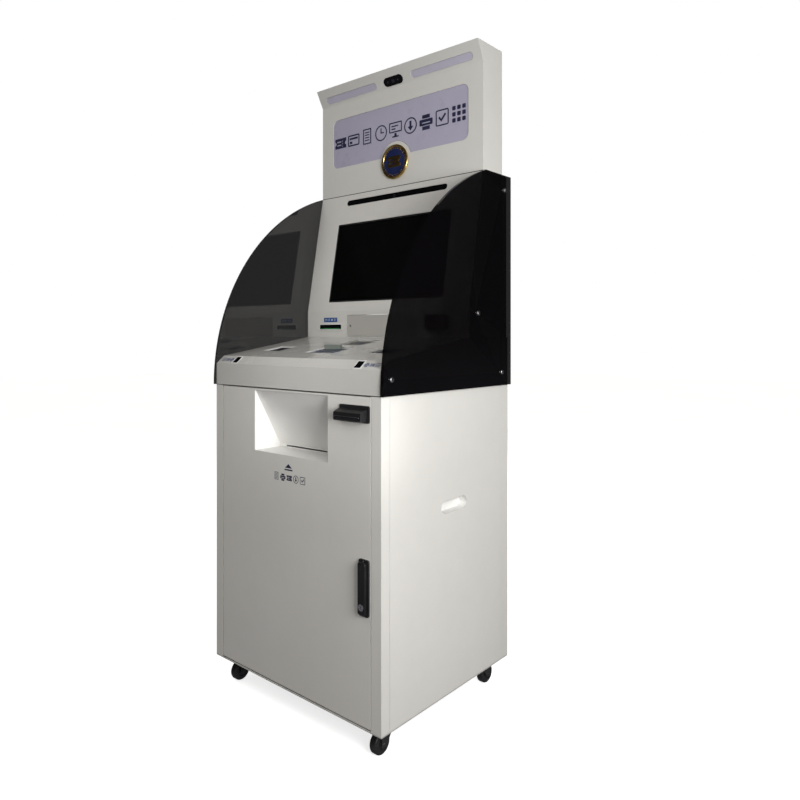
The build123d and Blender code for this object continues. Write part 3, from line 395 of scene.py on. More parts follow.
@dataclass(frozen=True)
class Finish:
    """A surface finish. Subclasses fill the graph around one Principled BSDF."""

    name: str

    def material(self) -> bpy.types.Material:
        """Return the finish's material, building it once.

        Returns:
            The material.
        """
        name = "finish_" + self.name
        found = bpy.data.materials.get(name)
        if found:
            return found
        made = bpy.data.materials.new(name)
        made.use_nodes = True
        made.node_tree.nodes.clear()
        g = Graph(made.node_tree)
        shader = g.add("BsdfPrincipled")
        leave = g.add("OutputMaterial")
        g.feed(shader.outputs[0], leave.inputs[0])
        self.shade(g, shader)
        return made

    def shade(self, g: Graph, shader: bpy.types.Node) -> None:
        """Fill the graph. Each finish has its own."""
        raise NotImplementedError

    @staticmethod
    def bump(g: Graph, height: object, distance: float, strength: float,
             normal: object = None) -> bpy.types.NodeSocket:
        """Add a Bump node and return its normal.

        Args:
            g: The material's graph.
            height: Height socket.
            distance: Height in metres.
            strength: Weight of the effect.
            normal: Normal to start from.

        Returns:
            The bumped normal's socket.
        """
        inputs = {"Height": height, "Distance": distance, "Strength": strength}
        if normal is not None:
            inputs["Normal"] = normal
        return g.add("Bump", inputs).outputs[0]


@dataclass(frozen=True)
class PowderCoat(Finish):
    """Textured powder coat on steel sheet, with handled edges and a little dust."""

    light: Colour
    dark: Colour
    chip: Colour = (0.86, 0.85, 0.82)
    roughness: float = 0.46
    peel: float = 900.0
    edge: float = 0.6
    dirt: float = 0.25
    coat: float = 0.0

    def shade(self, g: Graph, shader: bpy.types.Node) -> None:
        """Mottled paint, orange peel, paler edges and dust in patches.

        Args:
            g: The material's graph.
            shader: Its Principled BSDF.
        """
        paint = place_effect(g, Effect.MOTTLE, {"Color A": self.light, "Color B": self.dark, "Scale": 2.2})
        grain = place_effect(g, Effect.GRAIN, {"Scale": self.peel, "Roughness": self.roughness,
                                               "Spread": 0.1})
        edges = place_effect(g, Effect.EDGES, {"Radius": 0.0016, "Amount": self.edge, "Scale": 35.0})
        dust = place_effect(g, Effect.DUST, {"Amount": self.dirt, "Scale": 11.0})
        colour = g.blend(edges.outputs["Mask"], paint.outputs["Color"], self.chip)
        colour = g.blend(dust.outputs["Mask"], colour, (0.47, 0.45, 0.41))
        g.feed(colour, shader.inputs["Base Color"])
        g.feed(g.math("ADD", grain.outputs["Roughness"], g.math("MULTIPLY", dust.outputs["Mask"], 0.3),
                      clamp=True),
               shader.inputs["Roughness"])
        g.feed(self.bump(g, grain.outputs["Height"], 0.00008, 0.5, edges.outputs["Normal"]),
               shader.inputs["Normal"])
        shader.inputs["Coat Weight"].default_value = self.coat
        shader.inputs["Specular IOR Level"].default_value = 0.45


@dataclass(frozen=True)
class MouldedPlastic(Finish):
    """Moulded plastic with a fine spark-eroded texture and rubbed edges."""

    light: Colour
    dark: Colour
    rubbed: Colour
    roughness: float = 0.42
    texture: float = 1500.0
    depth: float = 0.00006
    edge: float = 0.4
    shine: float = 0.5

    def shade(self, g: Graph, shader: bpy.types.Node) -> None:
        """Mottled plastic, texture, hairlines and rubbed edges.

        Args:
            g: The material's graph.
            shader: Its Principled BSDF.
        """
        body = place_effect(g, Effect.MOTTLE, {"Color A": self.light, "Color B": self.dark, "Scale": 9.0})
        grain = place_effect(g, Effect.GRAIN, {"Scale": self.texture, "Roughness": self.roughness,
                                               "Spread": 0.16})
        edges = place_effect(g, Effect.EDGES, {"Radius": 0.0006, "Amount": self.edge, "Scale": 90.0})
        scuffs = place_effect(g, Effect.SCUFFS, {"Scale": 45.0, "Amount": 0.35})
        wear = g.math("MAXIMUM", edges.outputs["Mask"], scuffs.outputs["Mask"])
        g.feed(g.blend(wear, body.outputs["Color"], self.rubbed), shader.inputs["Base Color"])
        g.feed(g.math("ADD", grain.outputs["Roughness"], g.math("MULTIPLY", scuffs.outputs["Mask"], 0.2),
                      clamp=True),
               shader.inputs["Roughness"])
        g.feed(self.bump(g, grain.outputs["Height"], self.depth, 0.5, edges.outputs["Normal"]),
               shader.inputs["Normal"])
        shader.inputs["Specular IOR Level"].default_value = self.shine


@dataclass(frozen=True)
class GlossPane(Finish):
    """Polished pane, see-through where alpha is under one, with smudges and hairlines."""

    tint: Colour
    haze: Colour
    roughness: float = 0.05
    alpha: float = 1.0
    ior: float = 1.49
    smudge: float = 0.5

    def shade(self, g: Graph, shader: bpy.types.Node) -> None:
        """Dark pane whose gloss is broken by smudges.

        Args:
            g: The material's graph.
            shader: Its Principled BSDF.
        """
        tint = place_effect(g, Effect.MOTTLE, {"Color A": self.tint, "Color B": self.haze, "Scale": 1.6})
        smudges = place_effect(g, Effect.SMUDGES, {"Scale": 5.0, "Amount": self.smudge})
        scuffs = place_effect(g, Effect.SCUFFS, {"Scale": 22.0, "Amount": 0.3})
        if self.alpha < 1:
            flat, marks = g.add("NewGeometry").outputs["True Normal"], scuffs.outputs["Mask"]
        else:
            edges = place_effect(g, Effect.EDGES, {"Radius": 0.0009, "Amount": 0.35, "Scale": 50.0})
            flat, marks = edges.outputs["Normal"], g.math("MAXIMUM", scuffs.outputs["Mask"],
                                                          edges.outputs["Mask"])
        g.feed(g.blend(marks, tint.outputs["Color"], tuple(min(1.0, c * 2.0 + 0.008) for c in self.haze)),
               shader.inputs["Base Color"])
        rough = g.math("ADD", self.roughness, g.math("MULTIPLY", smudges.outputs["Mask"], 0.16))
        g.feed(g.math("ADD", rough, g.math("MULTIPLY", scuffs.outputs["Mask"], 0.2), clamp=True),
               shader.inputs["Roughness"])
        g.feed(self.bump(g, smudges.outputs["Mask"], 0.00002, 0.3, flat), shader.inputs["Normal"])
        shader.inputs["Alpha"].default_value = self.alpha
        shader.inputs["IOR"].default_value = self.ior
        if self.alpha < 1:
            behind = g.add("NewGeometry").outputs["Backfacing"]
            g.feed(g.math("MULTIPLY", g.math("SUBTRACT", 1.0, behind), 0.5),
                   shader.inputs["Specular IOR Level"])


@dataclass(frozen=True)
class FrostedAcrylic(Finish):
    """Opal acrylic in front of lamps that are off."""

    light: Colour
    dark: Colour
    roughness: float = 0.3
    glow: float = 0.0

    def shade(self, g: Graph, shader: bpy.types.Node) -> None:
        """Milky colour with slow drift, fine frosting and a soft scatter.

        Args:
            g: The material's graph.
            shader: Its Principled BSDF.
        """
        milk = place_effect(g, Effect.MOTTLE, {"Color A": self.light, "Color B": self.dark, "Scale": 3.4})
        grain = place_effect(g, Effect.GRAIN, {"Scale": 2200.0, "Roughness": self.roughness, "Spread": 0.12})
        dust = place_effect(g, Effect.DUST, {"Amount": 0.35, "Scale": 18.0})
        smudges = place_effect(g, Effect.SMUDGES, {"Scale": 7.0, "Amount": 0.4})
        g.feed(g.blend(dust.outputs["Mask"], milk.outputs["Color"], (0.42, 0.41, 0.4)),
               shader.inputs["Base Color"])
        g.feed(g.math("ADD", grain.outputs["Roughness"], g.math("MULTIPLY", smudges.outputs["Mask"], 0.12)),
               shader.inputs["Roughness"])
        g.feed(self.bump(g, grain.outputs["Height"], 0.00003, 0.4), shader.inputs["Normal"])
        if self.glow > 0:
            g.feed(milk.outputs["Color"], shader.inputs["Emission Color"])
            shader.inputs["Emission Strength"].default_value = self.glow


@dataclass(frozen=True)
class BareMetal(Finish):
    """Plated, brushed or polished metal."""

    light: Colour
    dark: Colour
    roughness: float = 0.25
    lines: float = 500.0
    depth: float = 0.00003

    def shade(self, g: Graph, shader: bpy.types.Node) -> None:
        """Brushed grain, tarnish in patches and polished edges.

        Args:
            g: The material's graph.
            shader: Its Principled BSDF.
        """
        brushing = place_effect(g, Effect.BRUSHING, {"Scale": self.lines})
        tarnish = place_effect(g, Effect.MOTTLE, {"Color A": self.light, "Color B": self.dark,
                                                  "Scale": 26.0})
        edges = place_effect(g, Effect.EDGES, {"Radius": 0.0004, "Amount": 0.8, "Scale": 120.0})
        bright = tuple(min(1.0, c * 1.15) for c in self.light)
        g.feed(g.blend(edges.outputs["Mask"], tarnish.outputs["Color"], bright), shader.inputs["Base Color"])
        spread = g.spread(brushing.outputs["Value"], 0.0, 1.0, self.roughness * 0.75, self.roughness * 1.35)
        g.feed(g.math("ADD", spread, g.math("MULTIPLY", tarnish.outputs["Value"], 0.08)),
               shader.inputs["Roughness"])
        g.feed(self.bump(g, brushing.outputs["Height"], self.depth, 0.5, edges.outputs["Normal"]),
               shader.inputs["Normal"])
        shader.inputs["Metallic"].default_value = 1.0


@dataclass(frozen=True)
class PrintInk(Finish):
    """Screen-printed ink, slightly uneven and worn through in specks."""

    ink: Colour
    worn: Colour
    roughness: float = 0.5

    def shade(self, g: Graph, shader: bpy.types.Node) -> None:
        """Ink with thin patches and its own slight relief.

        Args:
            g: The material's graph.
            shader: Its Principled BSDF.
        """
        film = place_effect(g, Effect.MOTTLE, {"Color A": self.ink, "Color B": self.worn, "Scale": 40.0})
        grain = place_effect(g, Effect.GRAIN, {"Scale": 1800.0, "Roughness": self.roughness, "Spread": 0.15})
        specks = g.spread(g.noise(900.0, 2.0, 0.5), 0.66, 0.74, 0.0, 0.5)
        g.feed(g.blend(specks, film.outputs["Color"], self.worn), shader.inputs["Base Color"])
        g.feed(grain.outputs["Roughness"], shader.inputs["Roughness"])
        g.feed(self.bump(g, grain.outputs["Height"], 0.00002, 0.4), shader.inputs["Normal"])


@dataclass(frozen=True)
class SignalLight(Finish):
    """Small lit part, such as a light pipe or an indicator."""

    lit: Colour
    deep: Colour
    strength: float = 2.0

    def shade(self, g: Graph, shader: bpy.types.Node) -> None:
        """Coloured glow, stronger in the middle of the moulding's drift.

        Args:
            g: The material's graph.
            shader: Its Principled BSDF.
        """
        glow = place_effect(g, Effect.MOTTLE, {"Color A": self.lit, "Color B": self.deep, "Scale": 70.0})
        grain = place_effect(g, Effect.GRAIN, {"Scale": 1500.0, "Roughness": 0.25, "Spread": 0.1})
        g.feed(glow.outputs["Color"], shader.inputs["Base Color"])
        g.feed(glow.outputs["Color"], shader.inputs["Emission Color"])
        g.feed(grain.outputs["Roughness"], shader.inputs["Roughness"])
        g.feed(self.bump(g, grain.outputs["Height"], 0.00002, 0.3), shader.inputs["Normal"])
        shader.inputs["Emission Strength"].default_value = self.strength


@dataclass(frozen=True)
class Backdrop(Finish):
    """Pale studio floor."""

    tone: Colour
    lift: float = 0.80

    def shade(self, g: Graph, shader: bpy.types.Node) -> None:
        """Even floor with the faintest drift.

        Args:
            g: The material's graph.
            shader: Its Principled BSDF.
        """
        drift = place_effect(g, Effect.MOTTLE, {"Color A": self.tone,
                                                "Color B": tuple(c * 0.985 for c in self.tone),
                                                "Scale": 0.6})
        g.feed(drift.outputs["Color"], shader.inputs["Base Color"])
        g.feed(drift.outputs["Color"], shader.inputs["Emission Color"])
        shader.inputs["Emission Strength"].default_value = self.lift
        shader.inputs["Roughness"].default_value = 0.7
        shader.inputs["Specular IOR Level"].default_value = 0.1


class Finishes:
    """Every finish on the terminal, by name."""

    shell = PowderCoat("off_white_coat", (0.765, 0.752, 0.71), (0.725, 0.712, 0.672))
    # Darker than the shell: partly the cover's own grey and partly painted shade of the recess it sits in.
    cover = PowderCoat("cover_coat_with_painted_shade", (0.54, 0.525, 0.49), (0.51, 0.495, 0.46), dirt=0.2)
    inner = PowderCoat("inner_coat", (0.60, 0.59, 0.56), (0.52, 0.51, 0.485), roughness=0.5, dirt=0.45)
    # Brighter than the shell paint: painted light on the outlet's walls and on the side grips.
    outlet = PowderCoat("outlet_coat_painted_light", (0.88, 0.875, 0.85), (0.85, 0.845, 0.82), roughness=0.42, dirt=0.12)
    tabletop = PowderCoat("table_coat", (0.66, 0.65, 0.615), (0.62, 0.61, 0.575), roughness=0.24, peel=700.0,
                          dirt=0.12, coat=0.35)
    fork = PowderCoat("black_enamel", (0.022, 0.022, 0.022), (0.012, 0.012, 0.012), chip=(0.2, 0.2, 0.2),
                      roughness=0.38, dirt=0.35)
    galvanised = BareMetal("zinc_sheet", (0.55, 0.56, 0.57), (0.40, 0.41, 0.42), 0.42, 60.0)
    steel = BareMetal("plated_steel", (0.66, 0.66, 0.66), (0.50, 0.49, 0.47), 0.24, 700.0)
    dark_steel = BareMetal("blackened_steel", (0.10, 0.10, 0.105), (0.05, 0.05, 0.052), 0.35, 500.0)
    gilt = BareMetal("gilt_brass", (0.78, 0.56, 0.20), (0.52, 0.34, 0.10), 0.22, 900.0)
    black = MouldedPlastic("black_moulding", (0.018, 0.018, 0.019), (0.010, 0.010, 0.011),
                           (0.10, 0.10, 0.10))
    satin_black = MouldedPlastic("satin_black_cast", (0.014, 0.014, 0.015), (0.008, 0.008, 0.008),
                                 (0.16, 0.16, 0.16), roughness=0.3, texture=1100.0)
    grey = MouldedPlastic("grey_moulding", (0.34, 0.345, 0.335), (0.29, 0.295, 0.285), (0.5, 0.5, 0.5),
                          roughness=0.5)
    white_trim = MouldedPlastic("white_trim", (0.82, 0.82, 0.80), (0.77, 0.77, 0.75), (0.9, 0.9, 0.9),
                                roughness=0.35)
    slate = MouldedPlastic("reader_slate", (0.10, 0.115, 0.14), (0.075, 0.088, 0.11), (0.2, 0.21, 0.23),
                           roughness=0.4,
                           shine=0.12)
    umber = MouldedPlastic("reader_umber", (0.17, 0.16, 0.145), (0.13, 0.122, 0.11), (0.28, 0.27, 0.25),
                           roughness=0.45,
                           shine=0.12)
    well_black = MouldedPlastic("reader_black", (0.012, 0.013, 0.022), (0.008, 0.008, 0.014),
                                (0.05, 0.05, 0.06),
                                roughness=0.5, shine=0.08)
    stop = MouldedPlastic("card_stop_grey", (0.26, 0.29, 0.26), (0.22, 0.25, 0.22), (0.4, 0.42, 0.4),
                          roughness=0.4)
    # Painted shadow: dark plastic for the ring that stands for the shade in the sign's recessed edge.
    joint = MouldedPlastic("painted_shadow_ring_plastic", (0.10, 0.095, 0.12), (0.07, 0.066, 0.085), (0.2, 0.2, 0.2),
                           roughness=0.6)
    rubber = MouldedPlastic("seal_rubber", (0.02, 0.02, 0.02), (0.012, 0.012, 0.012), (0.06, 0.06, 0.06),
                            roughness=0.75, texture=900.0, depth=0.0001)
    tread = MouldedPlastic("wheel_nylon", (0.020, 0.020, 0.021), (0.012, 0.012, 0.012), (0.15, 0.14, 0.13),
                           roughness=0.45, texture=500.0, depth=0.00012)
    board = MouldedPlastic("lamp_board", (0.78, 0.78, 0.74), (0.72, 0.72, 0.68), (0.6, 0.6, 0.58),
                           roughness=0.5)
    paper = MouldedPlastic("thermal_paper", (0.86, 0.86, 0.84), (0.80, 0.80, 0.78), (0.7, 0.7, 0.68),
                           roughness=0.8, texture=700.0)
    smoked = GlossPane("smoked_acrylic", (0.0014, 0.0011, 0.0014), (0.0022, 0.0019, 0.0023), 0.03, 0.87,
                       1.75)
    window = GlossPane("black_window", (0.0025, 0.0025, 0.003), (0.005, 0.005, 0.006), 0.14, ior=1.30)
    glass = GlossPane("screen_glass", (0.0016, 0.0017, 0.0015), (0.003, 0.0032, 0.003), 0.04, smudge=0.8)
    panel_dark = GlossPane("dark_display", (0.0022, 0.0024, 0.0022), (0.004, 0.0044, 0.004), 0.12,
                           smudge=0.6)
    lens = GlossPane("lens_glass", (0.012, 0.010, 0.030), (0.02, 0.012, 0.03), 0.02, ior=1.7, smudge=0.1)
    red_window = GlossPane("red_window", (0.10, 0.008, 0.008), (0.06, 0.006, 0.006), 0.08)
    sign = FrostedAcrylic("lilac_sign", (0.50, 0.475, 0.60), (0.46, 0.435, 0.555), 0.28)
    lamp = FrostedAcrylic("lamp_opal", (0.60, 0.58, 0.69), (0.55, 0.53, 0.64), 0.35)
    navy = PrintInk("navy_ink", (0.016, 0.018, 0.055), (0.03, 0.035, 0.09))
    blue = PrintInk("blue_ink", (0.020, 0.075, 0.26), (0.05, 0.13, 0.36))
    slate_ink = PrintInk("slate_ink", (0.06, 0.075, 0.15), (0.12, 0.14, 0.24))
    white_ink = PrintInk("white_ink", (0.78, 0.80, 0.84), (0.62, 0.66, 0.74))
    enamel = PrintInk("navy_enamel", (0.012, 0.018, 0.075), (0.02, 0.03, 0.10), roughness=0.12)
    green_light = SignalLight("green_light_pipe", (0.02, 0.30, 0.06), (0.01, 0.12, 0.03), 0.35)
    floor = Backdrop("studio_floor", (0.90, 0.90, 0.90))


# ---------------------------------------------------------------------------------------------
# Outlines and mesh making
# ---------------------------------------------------------------------------------------------

@dataclass(frozen=True)
class Place:
    """A flat working plane: an origin and its right and up directions."""

    origin: Vector
    right: Vector
    up: Vector

    @property
    def out(self) -> Vector:
        """Direction that faces the viewer of the plane."""
        return self.right.cross(self.up)

    def matrix(self) -> Matrix:
        """Matrix that carries plane coordinates to the frame."""
        columns = Matrix((self.right, self.up, self.out)).transposed()
        return Matrix.Translation(self.origin) @ columns.to_4x4()

    def at(self, x: float, y: float, z: float = 0.0) -> Vector:
        """A point on or above the plane, in the frame."""
        return self.origin + self.right * x + self.up * y + self.out * z

    def moved(self, x: float, y: float, z: float = 0.0) -> "Place":
        """The same plane with its origin moved."""
        return Place(self.at(x, y, z), self.right, self.up)


def facing_front(x: float, y: float, z: float, lean: float = 0.0) -> Place:
    """A plane that faces the user.

    Args:
        x: Origin across.
        y: Origin in depth.
        z: Origin in height.
        lean: Angle in radians by which its top leans back.

    Returns:
        The plane.
    """
    return Place(Vector((x, y, z)), Vector((1, 0, 0)), Vector((0, math.sin(lean), math.cos(lean))))


def facing_back(x: float, y: float, z: float) -> Place:
    """A plane that faces away from the user."""
    return Place(Vector((x, y, z)), Vector((-1, 0, 0)), Vector((0, 0, 1)))


def box_outline(width: float, height: float, radius: float = 0.0, x: float = 0.0, y: float = 0.0,
                steps: int = 6) -> Outline:
    """A rectangle, with round corners where radius is more than zero.

    Args:
        width: Width.
        height: Height.
        radius: Corner radius.
        x: Centre across.
        y: Centre up.
        steps: Facets to a corner.

    Returns:
        The outline.
    """
    if radius <= 0:
        return [(x + sx * width / 2, y + sy * height / 2) for sx, sy in ((-1, -1), (1, -1), (1, 1), (-1, 1))]
    points: Outline = []
    for turn, (sx, sy) in enumerate(((1, 1), (-1, 1), (-1, -1), (1, -1))):
        cx, cy = x + sx * (width / 2 - radius), y + sy * (height / 2 - radius)
        for i in range(steps + 1):
            angle = math.pi / 2 * (turn + i / steps)
            points.append((cx + radius * math.cos(angle), cy + radius * math.sin(angle)))
    return points


def disc_outline(radius: float, x: float = 0.0, y: float = 0.0, steps: int = 32) -> Outline:
    """A circle."""
    return [(x + radius * math.cos(2 * math.pi * i / steps), y + radius * math.sin(2 * math.pi * i / steps))
            for i in range(steps)]


def scaled(outlines: Iterable[Outline], size: float, x: float = 0.0, y: float = 0.0) -> list[Outline]:
    """Outlines drawn in a unit square, enlarged and moved."""
    return [[(x + px * size, y + py * size) for px, py in outline] for outline in outlines]


class Workshop:
    """Makes pieces, dresses them and sets them on their bodies."""

    def __init__(self) -> None:
        """Start the count of pieces."""
        self.made = 0

    def settle(self, piece: bpy.types.Object, finish: Finish, body: str, slot: str | None = None,
               replaces: Sequence[str] = ()) -> bpy.types.Object:
        """Give a piece its finish and its body.

        Args:
            piece: The new object, in place.
            finish: Its finish.
            body: The CAD body that it rides on.
            slot: The record's material slot; not used.
            replaces: CAD nodes that it stands for.

        Returns:
            The piece.
        """
        piece.data.materials.clear()
        piece.data.materials.append(finish.material())
        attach(piece, body)
        if replaces:
            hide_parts(*replaces)
        self.made += 1
        LOG.info("piece %s on %s", piece.name, body)
        return piece

    @staticmethod
    def link(name: str, mesh: bpy.types.Mesh, smooth: float = 35.0) -> bpy.types.Object:
        """Make an object of a mesh, smooth except at its sharp edges.

        Args:
            name: The object's name.
            mesh: Its mesh.
            smooth: Angle in degrees over which an edge is sharp.

        Returns:
            The new object.
        """
        mesh.polygons.foreach_set("use_smooth", [True] * len(mesh.polygons))
        mesh.set_sharp_from_angle(angle=math.radians(smooth))
        piece = bpy.data.objects.new(name, mesh)
        bpy.context.scene.collection.objects.link(piece)
        return piece

    def plate(self, name: str, place: Place, outlines: Sequence[Outline], low: float, high: float,
              rounding: float = 0.0) -> bpy.types.Object:
        """A flat piece between two heights over a plane; an outline inside another is a hole.

        Args:
            name: The piece's name.
            place: The working plane.
            outlines: Closed outlines on the plane.
            low: Height of its back.
            high: Height of its face.
            rounding: Radius of its rounded edges.

        Returns:
            The new object.
        """
        curve = bpy.data.curves.new(name, "CURVE")
        curve.dimensions = "2D"
        curve.fill_mode = "BOTH"
        curve.extrude = max((high - low) / 2 - rounding, 1e-6)
        curve.bevel_depth = rounding
        curve.bevel_resolution = 2
        curve.offset = -rounding
        for outline in outlines:
            spline = curve.splines.new("POLY")
            spline.points.add(len(outline) - 1)
            spline.points.foreach_set("co", [c for x, y in outline for c in (x, y, 0.0, 1.0)])
            spline.use_cyclic_u = True
        source = bpy.data.objects.new(name + "_outline", curve)
        mesh = bpy.data.meshes.new_from_object(source)
        bpy.data.objects.remove(source)
        bpy.data.curves.remove(curve)
        mesh.transform(place.moved(0, 0, (low + high) / 2).matrix())
        bm = bmesh.new()
        bm.from_mesh(mesh)
        bmesh.ops.remove_doubles(bm, verts=bm.verts, dist=1e-6)
        bmesh.ops.recalc_face_normals(bm, faces=bm.faces)
        bm.to_mesh(mesh)
        bm.free()
        return self.link(name, mesh)

    def turned(self, name: str, place: Place, profile: Sequence[tuple[float, float]],
               steps: int = 40) -> bpy.types.Object:
        """A piece turned about the plane's outward axis.

        Args:
            name: The piece's name.
            place: The plane whose origin lies on the axis.
            profile: Radius and height pairs, from the back to the front.
            steps: Facets round the axis.

        Returns:
            The new object.
        """
        bm = bmesh.new()
        rings = []
        for radius, height in profile:
            if radius < 1e-7:
                rings.append([bm.verts.new((0, 0, height))])
            else:
                rings.append([bm.verts.new((radius * math.cos(2 * math.pi * i / steps),
                                            radius * math.sin(2 * math.pi * i / steps), height))
                              for i in range(steps)])
        for low, high in zip(rings, rings[1:]):
            for i in range(steps):
                j = (i + 1) % steps
                corners = [low[i % len(low)], low[j % len(low)], high[j % len(high)], high[i % len(high)]]
                bm.faces.new(list(dict.fromkeys(corners)))
        for ring in (rings[0], rings[-1]):
            if len(ring) > 1:
                bm.faces.new(ring)
        bmesh.ops.recalc_face_normals(bm, faces=bm.faces)
        mesh = bpy.data.meshes.new(name)
        bm.to_mesh(mesh)
        bm.free()
        mesh.transform(place.matrix())
        return self.link(name, mesh)

    def joined(self, name: str, parts: Sequence[bpy.types.Object]) -> bpy.types.Object:
        """Join several new pieces into one, as one moulding.

        Args:
            name: The new piece's name.
            parts: The pieces, which are used up.

        Returns:
            The new object.
        """
        bm = bmesh.new()
        for part in parts:
            bm.from_mesh(part.data)
            bpy.data.objects.remove(part)
        mesh = bpy.data.meshes.new(name)
        bm.to_mesh(mesh)
        bm.free()
        return self.link(name, mesh)

    @staticmethod
    def dress(nodes: Sequence[str], finish: Finish) -> None:
        """Give CAD nodes a finish.

        Args:
            nodes: Names of the nodes.
            finish: Their finish.
        """
        for name in nodes:
            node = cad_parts[name]
            node.data.materials.clear()
            node.data.materials.append(finish.material())
            LOG.info("node %s wears %s", name, finish.name)


# ---------------------------------------------------------------------------------------------
# Pictograms
# ---------------------------------------------------------------------------------------------

def frame_glyph(width: float, height: float, stroke: float, radius: float, x: float = 0.0,
                y: float = 0.0) -> list[Outline]:
    """An outlined rectangle in a unit square.

    Args:
        width: Width.
        height: Height.
        stroke: Width of its line.
        radius: Corner radius.
        x: Centre across.
        y: Centre up.

    Returns:
        Its outer and inner outlines.
    """
    return [box_outline(width, height, radius, x, y, 4),
            box_outline(width - 2 * stroke, height - 2 * stroke, max(radius - stroke, 0.01), x, y, 4)]


class Glyph(Enum):
    """Generic pictograms, each drawn in a unit square."""

    TICKET = "ticket"
    CARD = "card"
    SHEET = "sheet"
    CLOCK = "clock"
    ARROW = "arrow"
    SCREEN = "screen"
    PRINTER = "printer"
    TICK = "tick"
    GRID = "grid"

    def outlines(self) -> list[Outline]:
        """Return the pictogram's closed outlines."""
        return getattr(self, "_" + self.value)()

    @staticmethod
    def _ticket() -> list[Outline]:
        """A ticket with bitten ends and a tear line.

        Returns:
            Its outlines.
        """
        half_width, half_height, bite = 0.46, 0.3, 0.11
        edge: Outline = []
        for sx in (1, -1):
            edge.append((sx * half_width, -sx * half_height))
            edge += [(sx * half_width - sx * bite * math.cos(math.radians(a)),
                      sx * bite * math.sin(math.radians(a)))
                     for a in range(-90, 91, 30)]
            edge.append((sx * half_width, sx * half_height))
        holes = [box_outline(0.05, 0.09, 0.0, 0.16, y) for y in (-0.18, -0.03, 0.12)]
        return [edge, *holes, box_outline(0.34, 0.07, 0.0, -0.12, 0.1),
                box_outline(0.34, 0.07, 0.0, -0.12, -0.1)]

    @staticmethod
    def _card() -> list[Outline]:
        """A chip card."""
        return [*frame_glyph(0.94, 0.66, 0.08, 0.09), box_outline(0.66, 0.11, 0.0, 0, 0.11),
                box_outline(0.2, 0.14, 0.02, -0.22, -0.12, 3)]

    @staticmethod
    def _sheet() -> list[Outline]:
        """A printed sheet with a torn foot.

        Returns:
            Its outlines.
        """
        foot = [(0.32 - 0.08 * i, -0.46 + (0.07 if i % 2 else 0.0)) for i in range(9)]
        outer = [(0.32, 0.46), *foot, (-0.32, 0.46)]
        inner = [(0.25, 0.39), (0.25, -0.36), (-0.25, -0.36), (-0.25, 0.39)]
        return [outer, inner, *(box_outline(0.34, 0.06, 0.0, 0, y) for y in (0.25, 0.1, -0.05, -0.2))]

    @staticmethod
    def _clock() -> list[Outline]:
        """A dial with two hands."""
        hands = [(-0.035, -0.03), (-0.035, 0.28), (0.035, 0.28), (0.035, 0.03), (0.22, 0.03), (0.22, -0.03)]
        return [disc_outline(0.45), disc_outline(0.38), hands]

    @staticmethod
    def _arrow() -> list[Outline]:
        """An arrow in a ring.

        Returns:
            Its outlines.
        """
        arrow = [(0, -0.27), (0.2, -0.04), (0.07, -0.04), (0.07, 0.26), (-0.07, 0.26), (-0.07, -0.04),
                 (-0.2, -0.04)]
        return [disc_outline(0.45), disc_outline(0.38), arrow]

    @staticmethod
    def _screen() -> list[Outline]:
        """A screen on its stand.

        Returns:
            Its outlines.
        """
        stand = [(-0.07, -0.2), (0.07, -0.2), (0.09, -0.36), (0.24, -0.36), (0.24, -0.43), (-0.24, -0.43),
                 (-0.24, -0.36), (-0.09, -0.36)]
        return [*frame_glyph(0.94, 0.58, 0.07, 0.06, 0, 0.13), box_outline(0.5, 0.07, 0.0, -0.05, 0.2),
                box_outline(0.3, 0.07, 0.0, -0.15, 0.04), stand]

    @staticmethod
    def _printer() -> list[Outline]:
        """A printer with a sheet."""
        return [box_outline(0.9, 0.34, 0.05, 0, -0.03, 3), box_outline(0.56, 0.06, 0.0, 0, -0.05),
                box_outline(0.52, 0.2, 0.0, 0, 0.28), box_outline(0.52, 0.2, 0.0, 0, -0.34)]

    @staticmethod
    def _tick() -> list[Outline]:
        """A tick in a box."""
        tick = [(-0.25, 0.0), (-0.17, 0.08), (-0.06, -0.06), (0.18, 0.22), (0.26, 0.14), (-0.06, -0.22)]
        return [*frame_glyph(0.86, 0.86, 0.07, 0.1), tick]

    @staticmethod
    def _grid() -> list[Outline]:
        """Nine keys of a keypad."""
        return [box_outline(0.22, 0.22, 0.04, x, y, 3) for x in (-0.32, 0, 0.32) for y in (-0.32, 0, 0.32)]


# ---------------------------------------------------------------------------------------------
# Sub-assemblies
# ---------------------------------------------------------------------------------------------

